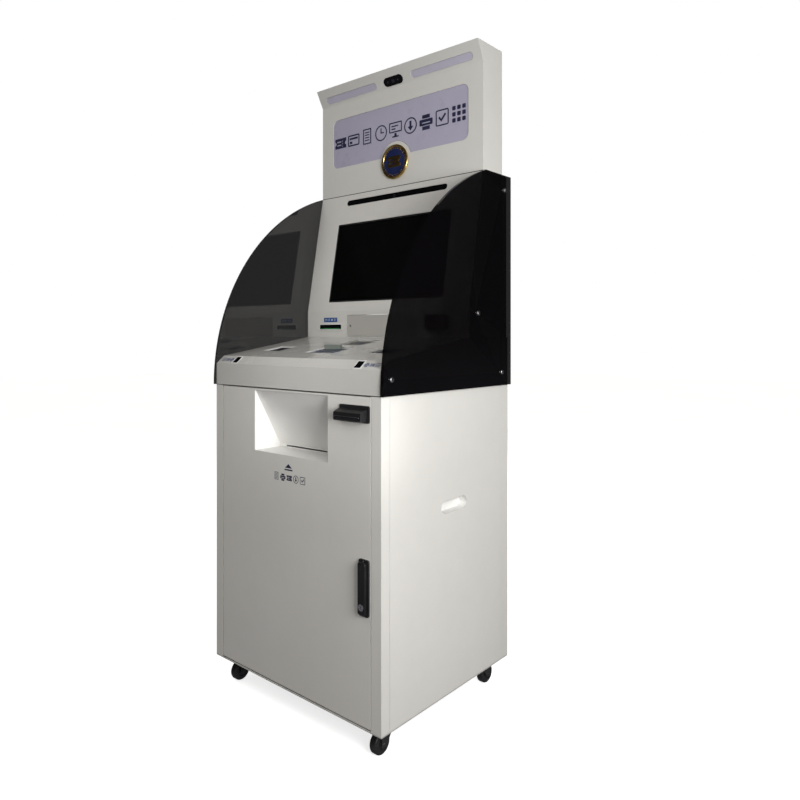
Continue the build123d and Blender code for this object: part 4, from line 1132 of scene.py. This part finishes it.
@dataclass
class Header:
    """Lit header: folded box with a leaning visor, sign, badge, lamp strips and camera."""

    shop: Workshop
    body: str = "cabinet"
    glyph_size: float = 51 * MM
    glyph_pitch: float = 55.5 * MM
    glyph_lift: float = 1.0 * MM
    visor_rise: float = 47.5 * MM
    visor_run: float = 25.4 * MM
    lens_radius: float = 6.5 * MM
    beads: int = 40
    bead_inset: float = 11 * MM
    sign_corner: float = 20 * MM
    badge_gap: float = 10 * MM
    row: tuple[Glyph, ...] = (Glyph.TICKET, Glyph.CARD, Glyph.SHEET, Glyph.CLOCK, Glyph.SCREEN, Glyph.ARROW,
                              Glyph.PRINTER, Glyph.TICK, Glyph.GRID)

    def build(self) -> None:
        """Build and dress the whole header."""
        self.shop.dress(["header_shell"], Finishes.shell)
        self.shop.dress(["sign_panel"], Finishes.sign)
        self.shop.dress(["lamp_diffusers"], Finishes.lamp)
        self.shop.dress(["light_boards"], Finishes.board)
        self.sign_row()
        self.painted_shadow_rim()
        self.badge()
        self.cameras()
        self.shadow_gap_strip()

    @property
    def face_y(self) -> float:
        """Depth of the header's flat face."""
        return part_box("sign_panel")[0].y - SHEET

    def sign_row(self) -> None:
        """Row of pictograms printed on the sign."""
        low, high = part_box("sign_panel")
        centre = facing_front(0, low.y, (low.z + high.z) / 2)
        start = -self.glyph_pitch * (len(self.row) - 1) / 2
        for i, glyph in enumerate(self.row):
            outlines = scaled(glyph.outlines(), self.glyph_size, start + i * self.glyph_pitch,
                              self.glyph_lift)
            piece = self.shop.plate(f"sign_pictogram_{i + 1}_{glyph.value}", centre, outlines, 0.0, 0.3 * MM)
            self.shop.settle(piece, Finishes.navy, self.body, "sign_acrylic")

    def painted_shadow_rim(self) -> None:
        """Dark ring round the sign, a painted shadow of its recessed edge."""
        low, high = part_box("sign_panel")
        face = facing_front(0, self.face_y, 0)
        centre_z = (low.z + high.z) / 2
        badge_low, badge_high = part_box("sign_badge")
        bite_z = (badge_low.z + badge_high.z) / 2
        reach = (badge_high.x - badge_low.x) / 2 + self.badge_gap
        width, height = high.x - low.x, high.z - low.z
        outlines = []
        for grow in (0.2 * MM, -0.9 * MM):
            w, h, r = width / 2 + grow, height / 2 + grow, self.sign_corner + grow
            bite = reach - grow
            foot = centre_z - h
            half = math.sqrt(max(bite ** 2 - (foot - bite_z) ** 2, 0.0))
            first = math.atan2(foot - bite_z, half)
            bottom = [(bite * math.cos(a), bite_z + bite * math.sin(a))
                      for a in (math.pi - first + (2 * first - math.pi) * i / 24 for i in range(25))]
            corners = box_outline(2 * w, 2 * h, r, 0, centre_z, 8)
            outlines.append([*corners[:27], *bottom, *corners[27:]])
        # Painted shadow: a thin dark ring where the sign's recessed edge lies in shade.
        ring = self.shop.plate("sign_painted_shadow_ring", face, outlines, -SHEET, -SHEET + 0.35 * MM)
        self.shop.settle(ring, Finishes.joint, self.body, "sign_acrylic")

    def badge(self) -> None:
        """Round medallion: gilt rim with beads, enamelled field and a ticket."""
        low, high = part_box("sign_badge")
        radius, thick = (high.x - low.x) / 2, high.y - low.y
        seat = facing_front((low.x + high.x) / 2, high.y, (low.z + high.z) / 2)
        rim = [(0, 0), (radius - 0.5 * MM, 0), (radius, 0.8 * MM), (radius, thick * 0.55),
               (radius - 1.5 * MM, thick * 0.85), (radius - 4 * MM, thick * 0.98),
               (radius - 6.5 * MM, thick * 0.85),
               (radius - 8 * MM, thick * 0.55), (0, thick * 0.55)]
        self.shop.settle(self.shop.turned("badge_rim", seat, rim, 96), Finishes.gilt, self.body,
                         "badge_gilt",
                         ["sign_badge"])
        enamel = [(0, thick * 0.5), (radius - 8.4 * MM, thick * 0.5), (radius - 8.6 * MM, thick * 0.62),
                 (radius * 0.5, thick * 0.68), (0, thick * 0.7)]
        self.shop.settle(self.shop.turned("badge_field", seat, enamel, 72), Finishes.enamel, self.body,
                         "badge_gilt")
        beads = []
        ring = radius - self.bead_inset
        for i in range(self.beads):
            angle = 2 * math.pi * i / self.beads
            spot = seat.moved(ring * math.cos(angle), ring * math.sin(angle), thick * 0.6)
            bead = [(0, 0), (1.5 * MM, 0.2 * MM), (1.3 * MM, 1.0 * MM), (0.7 * MM, 1.5 * MM), (0, 1.6 * MM)]
            beads.append(self.shop.turned(f"bead_{i}", spot, bead, 12))
        self.shop.settle(self.shop.joined("badge_beads", beads), Finishes.gilt, self.body, "badge_gilt")
        ticket = self.shop.plate("badge_ticket", seat, scaled(Glyph.TICKET.outlines(), radius * 1.05),
                                 thick * 0.6, thick * 0.92, 0.3 * MM)
        self.shop.settle(ticket, Finishes.gilt, self.body, "badge_gilt")

    def cameras(self) -> None:
        """Black windows with a lens in each."""
        self.shop.dress(["camera_windows"], Finishes.window)
        rise, run = self.visor_rise, self.visor_run
        length = math.hypot(rise, run)
        up = Vector((0, -run / length, rise / length))
        fold = Vector((0, self.face_y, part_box("header_shell")[1].z - rise))
        visor = Place(fold, Vector((1, 0, 0)), up).moved(0, 18 * MM, 0.8 * MM)
        self.lens("visor_lens", visor, self.lens_radius)
        for side in (-1, 1):
            self.lens(f"visor_infrared_{'left' if side < 0 else 'right'}", visor.moved(side * 18 * MM, 0),
                      3 * MM)

    def lens(self, name: str, place: Place, radius: float) -> None:
        """A domed lens in a dark ring.

        Args:
            name: The stem of the two pieces' names.
            place: The face that the lens stands on.
            radius: Outer radius of its ring.
        """
        ring = [(radius * 0.7, -1 * MM), (radius, -1 * MM), (radius, 0.25 * MM), (radius * 0.85, 0.5 * MM),
                (radius * 0.72, 0.1 * MM), (radius * 0.7, -1 * MM)]
        self.shop.settle(self.shop.turned(name + "_ring", place, ring[:-1], 32), Finishes.dark_steel,
                         self.body,
                         "dark_window")
        dome = [(0, -1 * MM), (radius * 0.69, -1 * MM), (radius * 0.68, 0.02 * MM),
                (radius * 0.45, 0.28 * MM),
                (0, 0.4 * MM)]
        self.shop.settle(self.shop.turned(name, place, dome, 32), Finishes.lens, self.body, "dark_window")

    def shadow_gap_strip(self) -> None:
        """Dark strip between the header and the console, painted shade for the shadow gap there."""
        low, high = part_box("header_shell")
        place = facing_front(0, self.face_y, low.z)
        # Painted shade: the CAD parts touch here, so this dark strip draws the shadow gap.
        strip = self.shop.plate("header_shadow_strip", place, [box_outline(high.x - low.x - 1 * MM, 1.8 * MM)],
                                -2 * MM, 0.25 * MM)
        self.shop.settle(strip, Finishes.rubber, self.body, "black_plastic")


@dataclass
class Console:
    """Leaning screen panel over an upright foot that holds the readers."""

    shop: Workshop
    body: str = "cabinet"
    lean: float = math.radians(10.0)
    knee_up: float = 76.5 * MM
    glass_width: float = 426 * MM
    glass_height: float = 240 * MM
    glass_up: float = 147 * MM
    bar_up: float = 332 * MM
    card_x: float = -200 * MM
    card_up: float = 30 * MM
    label_up: float = 51 * MM
    scanner_up: float = 39 * MM

    def build(self) -> None:
        """Build and dress the console."""
        self.shop.dress(["monitor_panel", "console_sides"], Finishes.shell)
        # The inset cover's darker grey is partly painted shade of its recess.
        self.shop.dress(["inset_panel"], Finishes.cover)
        self.shop.dress(["display_module"], Finishes.galvanised)
        self.shop.dress(["card_reader"], Finishes.black)
        self.shop.dress(["code_scanner"], Finishes.black)
        self.screen()
        self.card_mouth()
        self.label()
        self.cover_screws()
        self.scanner()
        lens_place = self.screen_place().moved(0, self.bar_up, -0.5 * MM)
        Header(self.shop).lens("console_lens", lens_place, 4.5 * MM)

    def foot_place(self) -> Place:
        """Face of the upright foot, origin at its lower edge."""
        low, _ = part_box("monitor_panel")
        return facing_front(0, low.y, low.z)

    def screen_place(self) -> Place:
        """Face of the leaning panel, origin on the knee."""
        low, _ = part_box("monitor_panel")
        return facing_front(0, low.y, low.z + self.knee_up, self.lean)

    def screen(self) -> None:
        """Glass with its dark picture area and a rubber rim."""
        self.shop.dress(["touch_glass"], Finishes.glass)
        place = self.screen_place().moved(0, self.glass_up)
        rim = self.shop.plate("screen_rim", place,
                              [box_outline(self.glass_width - 0.4 * MM, self.glass_height - 0.4 * MM,
                                           2 * MM),
                               box_outline(self.glass_width - 9 * MM, self.glass_height - 9 * MM, 1.5 * MM)],
                              -1.0 * MM, -0.35 * MM, 0.25 * MM)
        self.shop.settle(rim, Finishes.rubber, self.body, "black_plastic")
        picture = self.shop.plate("screen_picture_area", place,
                                  [box_outline(self.glass_width - 24 * MM, self.glass_height - 24 * MM,
                                               1 * MM)],
                                  -1.2 * MM, -0.97 * MM)
        self.shop.settle(picture, Finishes.panel_dark, self.body, "screen_glass")

    def card_mouth(self) -> None:
        """Pale frame, black throat and a green light pipe round the slot."""
        place = self.foot_place().moved(self.card_x, self.card_up)
        frame_piece = self.shop.plate("card_mouth_frame", place,
                                      [box_outline(100 * MM, 22 * MM, 4 * MM),
                                       box_outline(91 * MM, 13 * MM, 2 * MM)],
                                      0.0, 2.0 * MM, 0.7 * MM)
        self.shop.settle(frame_piece, Finishes.white_trim, self.body, "black_plastic", ["card_bezel"])
        throat = self.shop.plate("card_mouth_throat", place,
                                 [box_outline(90.6 * MM, 12.6 * MM, 1.5 * MM),
                                  box_outline(76 * MM, 2.4 * MM, 0.5 * MM)],
                                 -8 * MM, 0.9 * MM, 0.3 * MM)
        self.shop.settle(throat, Finishes.window, self.body, "black_plastic")
        pipe = self.shop.plate("card_mouth_light", place,
                               [box_outline(80 * MM, 1.5 * MM, 0.7 * MM, 0, -4.4 * MM)],
                               0.5 * MM, 1.15 * MM, 0.1 * MM)
        self.shop.settle(pipe, Finishes.green_light, self.body, "black_plastic")

    def label(self) -> None:
        """Blue plate over the card mouth, with small generic marks."""
        place = self.foot_place().moved(self.card_x, self.label_up)
        plate = self.shop.plate("card_label_plate", place, [box_outline(56 * MM, 13 * MM, 1.5 * MM)], 0,
                                0.7 * MM,
                                0.2 * MM)
        self.shop.settle(plate, Finishes.blue, self.body, "sign_acrylic")
        for i, glyph in enumerate((Glyph.CARD, Glyph.ARROW, Glyph.TICKET, Glyph.TICK)):
            mark = self.shop.plate(f"card_label_mark_{i + 1}", place,
                                   scaled(glyph.outlines(), 8 * MM, (i - 1.5) * 12 * MM), 0.65 * MM,
                                   0.8 * MM)
            self.shop.settle(mark, Finishes.white_ink, self.body, "sign_acrylic")

    def cover_screws(self) -> None:
        """Two small screws that hold the removable cover."""
        low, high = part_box("inset_panel")
        for side in (-1, 1):
            place = facing_front(side * (high.x - 12 * MM), low.y, (low.z + high.z) / 2)
            screw(self.shop, f"cover_screw_{'left' if side < 0 else 'right'}", place, 3 * MM, self.body)

    def scanner(self) -> None:
        """Red window and frame of the code scanner."""
        low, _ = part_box("code_scanner")
        place = facing_front(-self.card_x, low.y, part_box("monitor_panel")[0].z + self.scanner_up)
        window = self.shop.plate("scanner_window", place, [box_outline(52 * MM, 24 * MM, 3 * MM)], -9.5 * MM,
                                 -8 * MM,
                                 0.3 * MM)
        self.shop.settle(window, Finishes.red_window, self.body, "dark_window")
        lip = self.shop.plate("scanner_lip", place,
                              [box_outline(60 * MM, 32 * MM, 4 * MM),
                               box_outline(54.5 * MM, 26.5 * MM, 3 * MM)],
                              -0.8 * MM, 0.0, 0.3 * MM)
        self.shop.settle(lip, Finishes.satin_black, self.body, "black_plastic")


def screw(shop: Workshop, name: str, place: Place, radius: float, body: str, finish: Finish | None = None,
          slot: str = "bright_steel") -> None:
    """A pan head screw with a crossed recess.

    Args:
        shop: The workshop.
        name: The piece's name.
        place: The face that it is driven into.
        radius: Radius of its head.
        body: The CAD body that it rides on.
        finish: Its finish, plated steel unless given.
        slot: The record's material slot.
    """
    high = radius * 0.45
    profile = [(0, -radius * 0.4), (radius, -radius * 0.4), (radius, high * 0.35),
               (radius * 0.86, high * 0.75),
               (radius * 0.55, high), (radius * 0.36, high), (radius * 0.30, high * 0.45), (0, high * 0.4)]
    head = shop.turned(name + "_head", place, profile, 24)
    bars = [shop.plate(f"{name}_bar_{i}", place, [box_outline(*size)], high * 0.4, high * 0.72)
            for i, size in enumerate(((radius * 0.62, radius * 0.12), (radius * 0.12, radius * 0.62)))]
    shop.settle(shop.joined(name, [head, *bars]), finish or Finishes.steel, body, slot)


@dataclass
class Table:
    """Sloping table with four wells and two bevel windows."""

    shop: Workshop
    body: str = "cabinet"
    slope: float = math.radians(9.3)
    bevel_run: float = 23.5 * MM
    bevel_rise: float = 19.5 * MM
    slot_x: float = 224 * MM
    window_depth: float = 4.0 * MM
    apron: float = 57 * MM
    side_reader: tuple[float, float] = (200 * MM, 137 * MM)
    card_reader_y: float = 133 * MM
    rear_reader_y: float = 245 * MM

    def build(self) -> None:
        """Build and dress the table."""
        self.shop.dress(["table_top"], Finishes.tabletop)
        self.shop.dress(["reader_wells"], Finishes.white_trim)
        self.shop.dress(["card_stop"], Finishes.stop)
        self.shop.dress(["bevel_windows"], Finishes.window)
        self.wells()
        self.bevel_prints()
        self.shadow_gap_strip()

    def top_place(self) -> Place:
        """Face of the sloping table, origin at the cabinet's front edge.

        Returns:
            The plane.
        """
        low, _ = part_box("table_top")
        z = low.z + self.apron + self.bevel_rise - self.bevel_run * math.tan(self.slope)
        up = Vector((0, math.cos(self.slope), math.sin(self.slope)))
        return Place(Vector((0, low.y, z)), Vector((1, 0, 0)), up)

    def bevel_place(self) -> Place:
        """Face of the bevel, origin halfway up.

        Returns:
            The plane.
        """
        low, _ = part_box("table_top")
        length = math.hypot(self.bevel_run, self.bevel_rise)
        up = Vector((0, self.bevel_run / length, self.bevel_rise / length))
        centre = Vector((0, low.y + self.bevel_run / 2, low.z + self.apron + self.bevel_rise / 2))
        return Place(centre, Vector((1, 0, 0)), up)

    def wells(self) -> None:
        """Floor of each well, with the detail of its reader."""
        along = 1 / math.cos(self.slope)
        plane = self.top_place()
        side_x, side_y = self.side_reader
        floors = (
            ("left_reader_window", -side_x, side_y * along, 68 * MM, 68 * MM, Finishes.well_black),
            ("right_reader_window", side_x, side_y * along, 68 * MM, 68 * MM, Finishes.well_black),
            ("card_reader_pad", 0.0, self.card_reader_y * along, 110 * MM, 84 * MM, Finishes.slate),
            ("rear_reader_pad", 0.0, self.rear_reader_y * along, 90 * MM, 80 * MM, Finishes.umber),
        )
        for i, (name, x, y, width, depth, finish) in enumerate(floors):
            outline = box_outline(width - 1 * MM, depth - 1 * MM, 3.5 * MM, x, y)
            piece = self.shop.plate(name, plane, [outline], -6 * MM, -self.window_depth, 0.4 * MM)
            self.shop.settle(piece, finish, self.body, "dark_window", ["reader_windows"] if i == 0 else ())
        self.well_marks(plane, along)

    def well_marks(self, plane: Place, along: float) -> None:
        """Printed and moulded marks on the floors of the wells.

        Args:
            plane: The table's face.
            along: Length along the slope for each length in depth.
        """
        face = -self.window_depth
        side_x, side_y = self.side_reader
        blue = self.shop.plate("card_pad_mark", plane,
                               [box_outline(30 * MM, 22 * MM, 2 * MM, 10 * MM, 120 * MM * along)],
                               face - 0.1 * MM, face + 0.3 * MM, 0.1 * MM)
        self.shop.settle(blue, Finishes.enamel, self.body, "sign_acrylic")
        card = self.shop.plate("card_pad_pictogram", plane,
                               scaled(Glyph.CARD.outlines(), 26 * MM, -28 * MM, 122 * MM * along),
                               face - 0.1 * MM, face + 0.2 * MM)
        self.shop.settle(card, Finishes.slate_ink, self.body, "sign_acrylic")
        finger = [disc_outline(r * MM, 0, self.rear_reader_y * along, 40) for r in (14, 12.8, 10, 8.8, 6,
                                                                                    4.8)]
        rings = self.shop.plate("rear_pad_rings", plane, finger, face - 0.1 * MM, face + 0.25 * MM)
        self.shop.settle(rings, Finishes.slate_ink, self.body, "sign_acrylic")
        for side, name in ((-1, "left"), (1, "right")):
            rim = self.shop.plate(f"{name}_reader_rim", plane,
                                  [box_outline(60 * MM, 60 * MM, 5 * MM, side * side_x, side_y * along),
                                   box_outline(54 * MM, 54 * MM, 4 * MM, side * side_x, side_y * along)],
                                  face - 0.1 * MM, face + 0.4 * MM, 0.15 * MM)
            self.shop.settle(rim, Finishes.well_black, self.body, "black_plastic")

    def bevel_prints(self) -> None:
        """White frames round the bevel windows and a print beside each."""
        plane = self.bevel_place()
        for side, name in ((-1, "left"), (1, "right")):
            x = side * self.slot_x
            rim = self.shop.plate(f"bevel_frame_{name}", plane,
                                  [box_outline(26 * MM, 28.5 * MM, 2 * MM, x, 0),
                                   box_outline(19.2 * MM, 22.2 * MM, 0.8 * MM, x, 0)],
                                  0.0, 0.5 * MM, 0.15 * MM)
            self.shop.settle(rim, Finishes.white_trim, self.body, "black_plastic")
            for i, glyph in enumerate((Glyph.PRINTER, Glyph.TICKET, Glyph.GRID)):
                spot = side * (self.slot_x + 23 * MM + i * 16.5 * MM)
                mark = self.shop.plate(f"bevel_print_{name}_{i + 1}", plane,
                                       scaled(glyph.outlines(), 16 * MM, spot),
                                       0.0, 0.12 * MM)
                self.shop.settle(mark, Finishes.slate_ink, self.body, "sign_acrylic")

    def shadow_gap_strip(self) -> None:
        """Dark strip under the apron, painted shade for the shadow gap between table and cabinet."""
        low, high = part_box("table_top")
        # Painted shade: a dark strip that draws the shadow gap under the apron.
        strip = self.shop.plate("apron_shadow_strip", facing_front(0, low.y, low.z),
                                [box_outline(high.x - low.x - 2 * MM, 1.6 * MM)], -3 * MM, 0.2 * MM)
        self.shop.settle(strip, Finishes.rubber, self.body, "black_plastic")


@dataclass
class SidePanels:
    """Smoked acrylic panels with their cap screws."""

    shop: Workshop

    def build(self) -> None:
        """Dress the panels and their screws."""
        self.shop.dress(["smoked_panels"], Finishes.smoked)
        self.shop.dress(["panel_screws"], Finishes.steel)


@dataclass
class Cabinet:
    """Posts, side sheets, grips and base."""

    shop: Workshop

    def build(self) -> None:
        """Dress the cabinet."""
        self.shop.dress(["cabinet_frame", "side_panels"], Finishes.shell)
        # The grips wear the brighter outlet coat, which is painted light.
        self.shop.dress(["side_grips"], Finishes.outlet)
        self.shop.dress(["base_plate", "equipment_shelf"], Finishes.inner)
        self.shop.dress(["hinge_pins", "caster_plates"], Finishes.steel)


@dataclass
class FrontDoor:
    """Front door with its outlet, receipt slot, prints and swing handle."""

    shop: Workshop
    body: str = "front_door_leaf"
    arrow_z: float = 606 * MM
    caption_z: float = 584 * MM
    handle_x: float = 251 * MM

    def build(self) -> None:
        """Build and dress the door."""
        self.shop.dress(["front_door"], Finishes.shell)
        # The outlet wears a brighter copy of the shell paint: painted light.
        self.shop.dress(["outlet_chute"], Finishes.outlet)
        self.shop.dress(["receipt_printer"], Finishes.galvanised)
        self.shop.dress(["paper_roll"], Finishes.paper)
        self.shop.dress(["platen_roller"], Finishes.rubber)
        self.shop.dress(["slot_bezel", "handle_base"], Finishes.black)
        self.shop.dress(["swing_lever"], Finishes.satin_black)
        self.shop.dress(["latch_cam", "lock_cylinder"], Finishes.steel)
        self.prints()
        self.slot_details()
        self.handle_details()

    def face(self) -> Place:
        """Outer face of the door, origin on the floor in the middle."""
        return facing_front(0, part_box("front_door")[0].y, 0)

    def prints(self) -> None:
        """Blue arrow and a row of pictograms under the outlet."""
        face = self.face()
        arrow = [[(0, 12 * MM), (12.5 * MM, 2 * MM), (-12.5 * MM, 2 * MM)],
                 box_outline(29 * MM, 3.4 * MM, 0, 0, -2.5 * MM)]
        moved = [[(x - 3 * MM, y + self.arrow_z) for x, y in outline] for outline in arrow]
        self.shop.settle(self.shop.plate("outlet_arrow", face, moved, 0.0, 0.15 * MM), Finishes.navy,
                         self.body,
                         "sign_acrylic")
        for i, glyph in enumerate((Glyph.SHEET, Glyph.PRINTER, Glyph.TICKET, Glyph.ARROW, Glyph.TICK)):
            outlines = scaled(glyph.outlines(), 21 * MM, (i - 2) * 24 * MM, self.caption_z)
            mark = self.shop.plate(f"outlet_caption_{i + 1}", face, outlines, 0.0, 0.15 * MM)
            self.shop.settle(mark, Finishes.navy, self.body, "sign_acrylic")

    def slot_details(self) -> None:
        """Tear edge and screws of the receipt slot."""
        low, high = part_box("slot_bezel")
        for side, x, z in (("left", low.x + 9 * MM, high.z - 9 * MM),
                           ("right", high.x - 7 * MM, low.z + 9 * MM)):
            place = facing_front(x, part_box("front_door")[0].y - 3 * MM, z)
            screw(self.shop, f"slot_screw_{side}", place, 3 * MM, self.body, Finishes.dark_steel)
        teeth = [(low.x + 4 * MM + i * 2 * MM, -1.0 * MM if i % 2 else 0.6 * MM) for i in range(38)]
        outline = [*teeth, (teeth[-1][0], 2.2 * MM), (teeth[0][0], 2.2 * MM)]
        nose = facing_front(0, low.y, low.z + 3 * MM + 7.5 * MM + 2.6 * MM)
        cutter = self.shop.plate("slot_cutter", nose, [outline], -3 * MM, -0.1 * MM)
        self.shop.settle(cutter, Finishes.steel, self.body, "bright_steel")

    def handle_details(self) -> None:
        """Screws at the ends of the escutcheon."""
        base_low, base_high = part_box("handle_base")
        for name, z in (("top", base_high.z - 3.2 * MM), ("foot", base_low.z + 3.2 * MM)):
            place = facing_front(self.handle_x, base_low.y, z)
            screw(self.shop, f"handle_screw_{name}", place, 2.0 * MM, self.body)


@dataclass
class Rear:
    """Back covers, service door, fan and the mains and lead entries."""

    shop: Workshop
    screw_xs: tuple[float, ...] = (-285 * MM, 0.0, 285 * MM)
    screw_inset: float = 14 * MM

    def build(self) -> None:
        """Build and dress the back."""
        self.shop.dress(["rear_covers", "rear_door"], Finishes.shell)
        self.shop.dress(["fan_frame", "fan_rotor", "power_inlet", "cable_gland", "power_rocker"],
                        Finishes.black)
        self.shop.dress(["rear_lock"], Finishes.steel)
        self.cover_screws()

    def cover_screws(self) -> None:
        """Screws along the edges of the two back covers."""
        low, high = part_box("header_shell")
        cover_low, cover_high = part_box("rear_covers")
        console_top = low.z
        header_back = high.y + SHEET
        inset = self.screw_inset
        rows = ((cover_high.y, cover_low.z + inset, console_top - inset),
                (header_back, console_top + inset, high.z - inset))
        for level, (y, bottom, top) in enumerate(rows):
            for i, x in enumerate(self.screw_xs):
                for j, z in enumerate((bottom, top)):
                    screw(self.shop, f"cover_screw_{level}_{i}_{j}", facing_back(x, y, z), 4 * MM, "cabinet")


@dataclass
class Interior:
    """Equipment inside the cabinet."""

    shop: Workshop

    def build(self) -> None:
        """Dress the equipment."""
        self.shop.dress(["computer", "power_supply"], Finishes.galvanised)
        self.shop.dress(["document_printer"], Finishes.grey)


@dataclass
class Casters:
    """Four swivel casters, two with brakes."""

    shop: Workshop
    places: tuple[str, ...] = ("front_left", "front_right", "rear_left", "rear_right")

    def build(self) -> None:
        """Dress each caster and the brakes."""
        for place in self.places:
            self.shop.dress([f"fork_{place}"], Finishes.fork)
            self.shop.dress([f"wheel_{place}"], Finishes.tread)
        self.shop.dress(["brake_rear_left", "brake_rear_right"], Finishes.fork)


@dataclass
class Studio:
    """Floor, light and the camera."""

    shop: Workshop
    eye: Vector = field(default_factory=lambda: Vector((1.2798, -1.3295, 0.9297)))
    yaw: float = math.radians(40.586)
    lens: float = 30.8
    shift: float = -0.0809

    def build(self) -> None:
        """Build the floor, the lights and the camera."""
        self.floor()
        self.sky()
        self.lamp("key_light", (1.72, -0.74, 1.05), (0.3, -0.05, 0.85), 0.8, 28.0)
        self.lamp("top_light", (-0.9, -1.6, 3.0), (0, 0, 0.9), 1.4, 8.0, mirrored=False)
        self.beam("console_beam", (1.0, -2.0, 1.9), (-0.05, 0.0, 0.98), 18.0, 70.0)
        self.beam("outlet_beam", (1.9, -0.75, 0.80), (-0.134, -0.19, 0.71), 9.0, 62.0)
        self.lamp("back_light", (-1.6, 2.6, 2.2), (0, 0, 0.9), 1.6, 30.0)
        self.camera()

    def floor(self) -> None:
        """Wide pale floor."""
        bm = bmesh.new()
        bmesh.ops.create_grid(bm, x_segments=8, y_segments=8, size=14.0)
        mesh = bpy.data.meshes.new("studio_floor")
        bm.to_mesh(mesh)
        bm.free()
        floor = bpy.data.objects.new("studio_floor", mesh)
        bpy.context.scene.collection.objects.link(floor)
        mesh.materials.append(Finishes.floor.material())
        floor.visible_diffuse = False
        floor.visible_glossy = False

    def sky(self) -> None:
        """Soft even surround, white behind the object."""
        world = bpy.data.worlds.new("studio")
        world.use_nodes = True
        world.node_tree.nodes.clear()
        g = Graph(world.node_tree)
        height = g.add("SeparateXYZ", {0: g.add("TexCoord").outputs["Generated"]}).outputs["Z"]
        soft = g.add("Background", {0: (1.0, 0.97, 0.94), 1: g.spread(height, -0.4, 0.3, 0.06, 0.36)})
        dim = g.add("Background", {0: (0.93, 0.88, 1.0), 1: g.spread(height, -0.5, 0.0, 0.19, 0.016)})
        plain = g.add("Background", {0: (1.0, 1.0, 1.0), 1: 1.0})
        path = g.add("LightPath")
        room = g.add("MixShader", {0: path.outputs["Is Glossy Ray"], 1: soft.outputs[0], 2: dim.outputs[0]})
        mix = g.add("MixShader", {0: path.outputs["Is Camera Ray"], 1: room.outputs[0], 2: plain.outputs[0]})
        g.feed(mix.outputs[0], g.add("OutputWorld").inputs[0])
        bpy.context.scene.world = world

    @staticmethod
    def lamp(name: str, spot: Sequence[float], aim: Sequence[float], size: float, power: float,
             mirrored: bool = True) -> None:
        """Add a square area lamp.

        Args:
            name: Its name.
            spot: Where it stands.
            aim: The point that it faces.
            size: Its side.
            power: Its power in watts.
            mirrored: Whether glossy faces mirror it.
        """
        data = bpy.data.lights.new(name, "AREA")
        data.size = size
        data.energy = power
        lamp = bpy.data.objects.new(name, data)
        lamp.location = spot
        lamp.visible_camera = False
        lamp.visible_glossy = mirrored
        lamp.rotation_euler = (Vector(aim) - Vector(spot)).to_track_quat("-Z", "Y").to_euler()
        bpy.context.scene.collection.objects.link(lamp)

    @staticmethod
    def beam(name: str, spot: Sequence[float], aim: Sequence[float], angle: float, power: float) -> None:
        """Add a soft-edged spot lamp.

        Args:
            name: Its name.
            spot: Where it stands.
            aim: The point that it faces.
            angle: Its full cone, in degrees.
            power: Its power in watts.
        """
        data = bpy.data.lights.new(name, "SPOT")
        data.spot_size = math.radians(angle)
        data.spot_blend = 0.8
        data.shadow_soft_size = 0.12
        data.energy = power
        lamp = bpy.data.objects.new(name, data)
        lamp.location = spot
        lamp.visible_camera = False
        lamp.visible_glossy = False
        lamp.rotation_euler = (Vector(aim) - Vector(spot)).to_track_quat("-Z", "Y").to_euler()
        bpy.context.scene.collection.objects.link(lamp)

    def camera(self) -> None:
        """Level camera at standing height, to the object's right."""
        data = bpy.data.cameras.new("camera")
        data.lens = self.lens
        data.sensor_width = 36.0
        data.shift_y = self.shift
        camera = bpy.data.objects.new("camera", data)
        camera.location = self.eye
        camera.rotation_euler = (math.pi / 2, 0, self.yaw)
        bpy.context.scene.collection.objects.link(camera)
        bpy.context.scene.camera = camera
        bpy.context.scene.view_settings.view_transform = "Standard"


def write_sizes() -> None:
    """Define a helper that turns vectors into lists of numbers; nothing is written."""
    def plain(bounds: object) -> list:
        """Vectors as lists of numbers."""
        return [[float(c) for c in corner] for corner in bounds]


def main() -> None:
    """Build every sub-assembly in order and set up the studio."""
    logging.basicConfig(level=logging.WARNING, format="%(name)s: %(message)s")
    shop = Workshop()
    Studio(shop).build()
    for part in (Cabinet, FrontDoor, Table, Console, Header, SidePanels, Rear, Interior, Casters):
        part(shop).build()
        LOG.warning("%s done, %d pieces so far", part.__name__, shop.made)
    write_sizes()


if __name__ == "__main__":
    main()
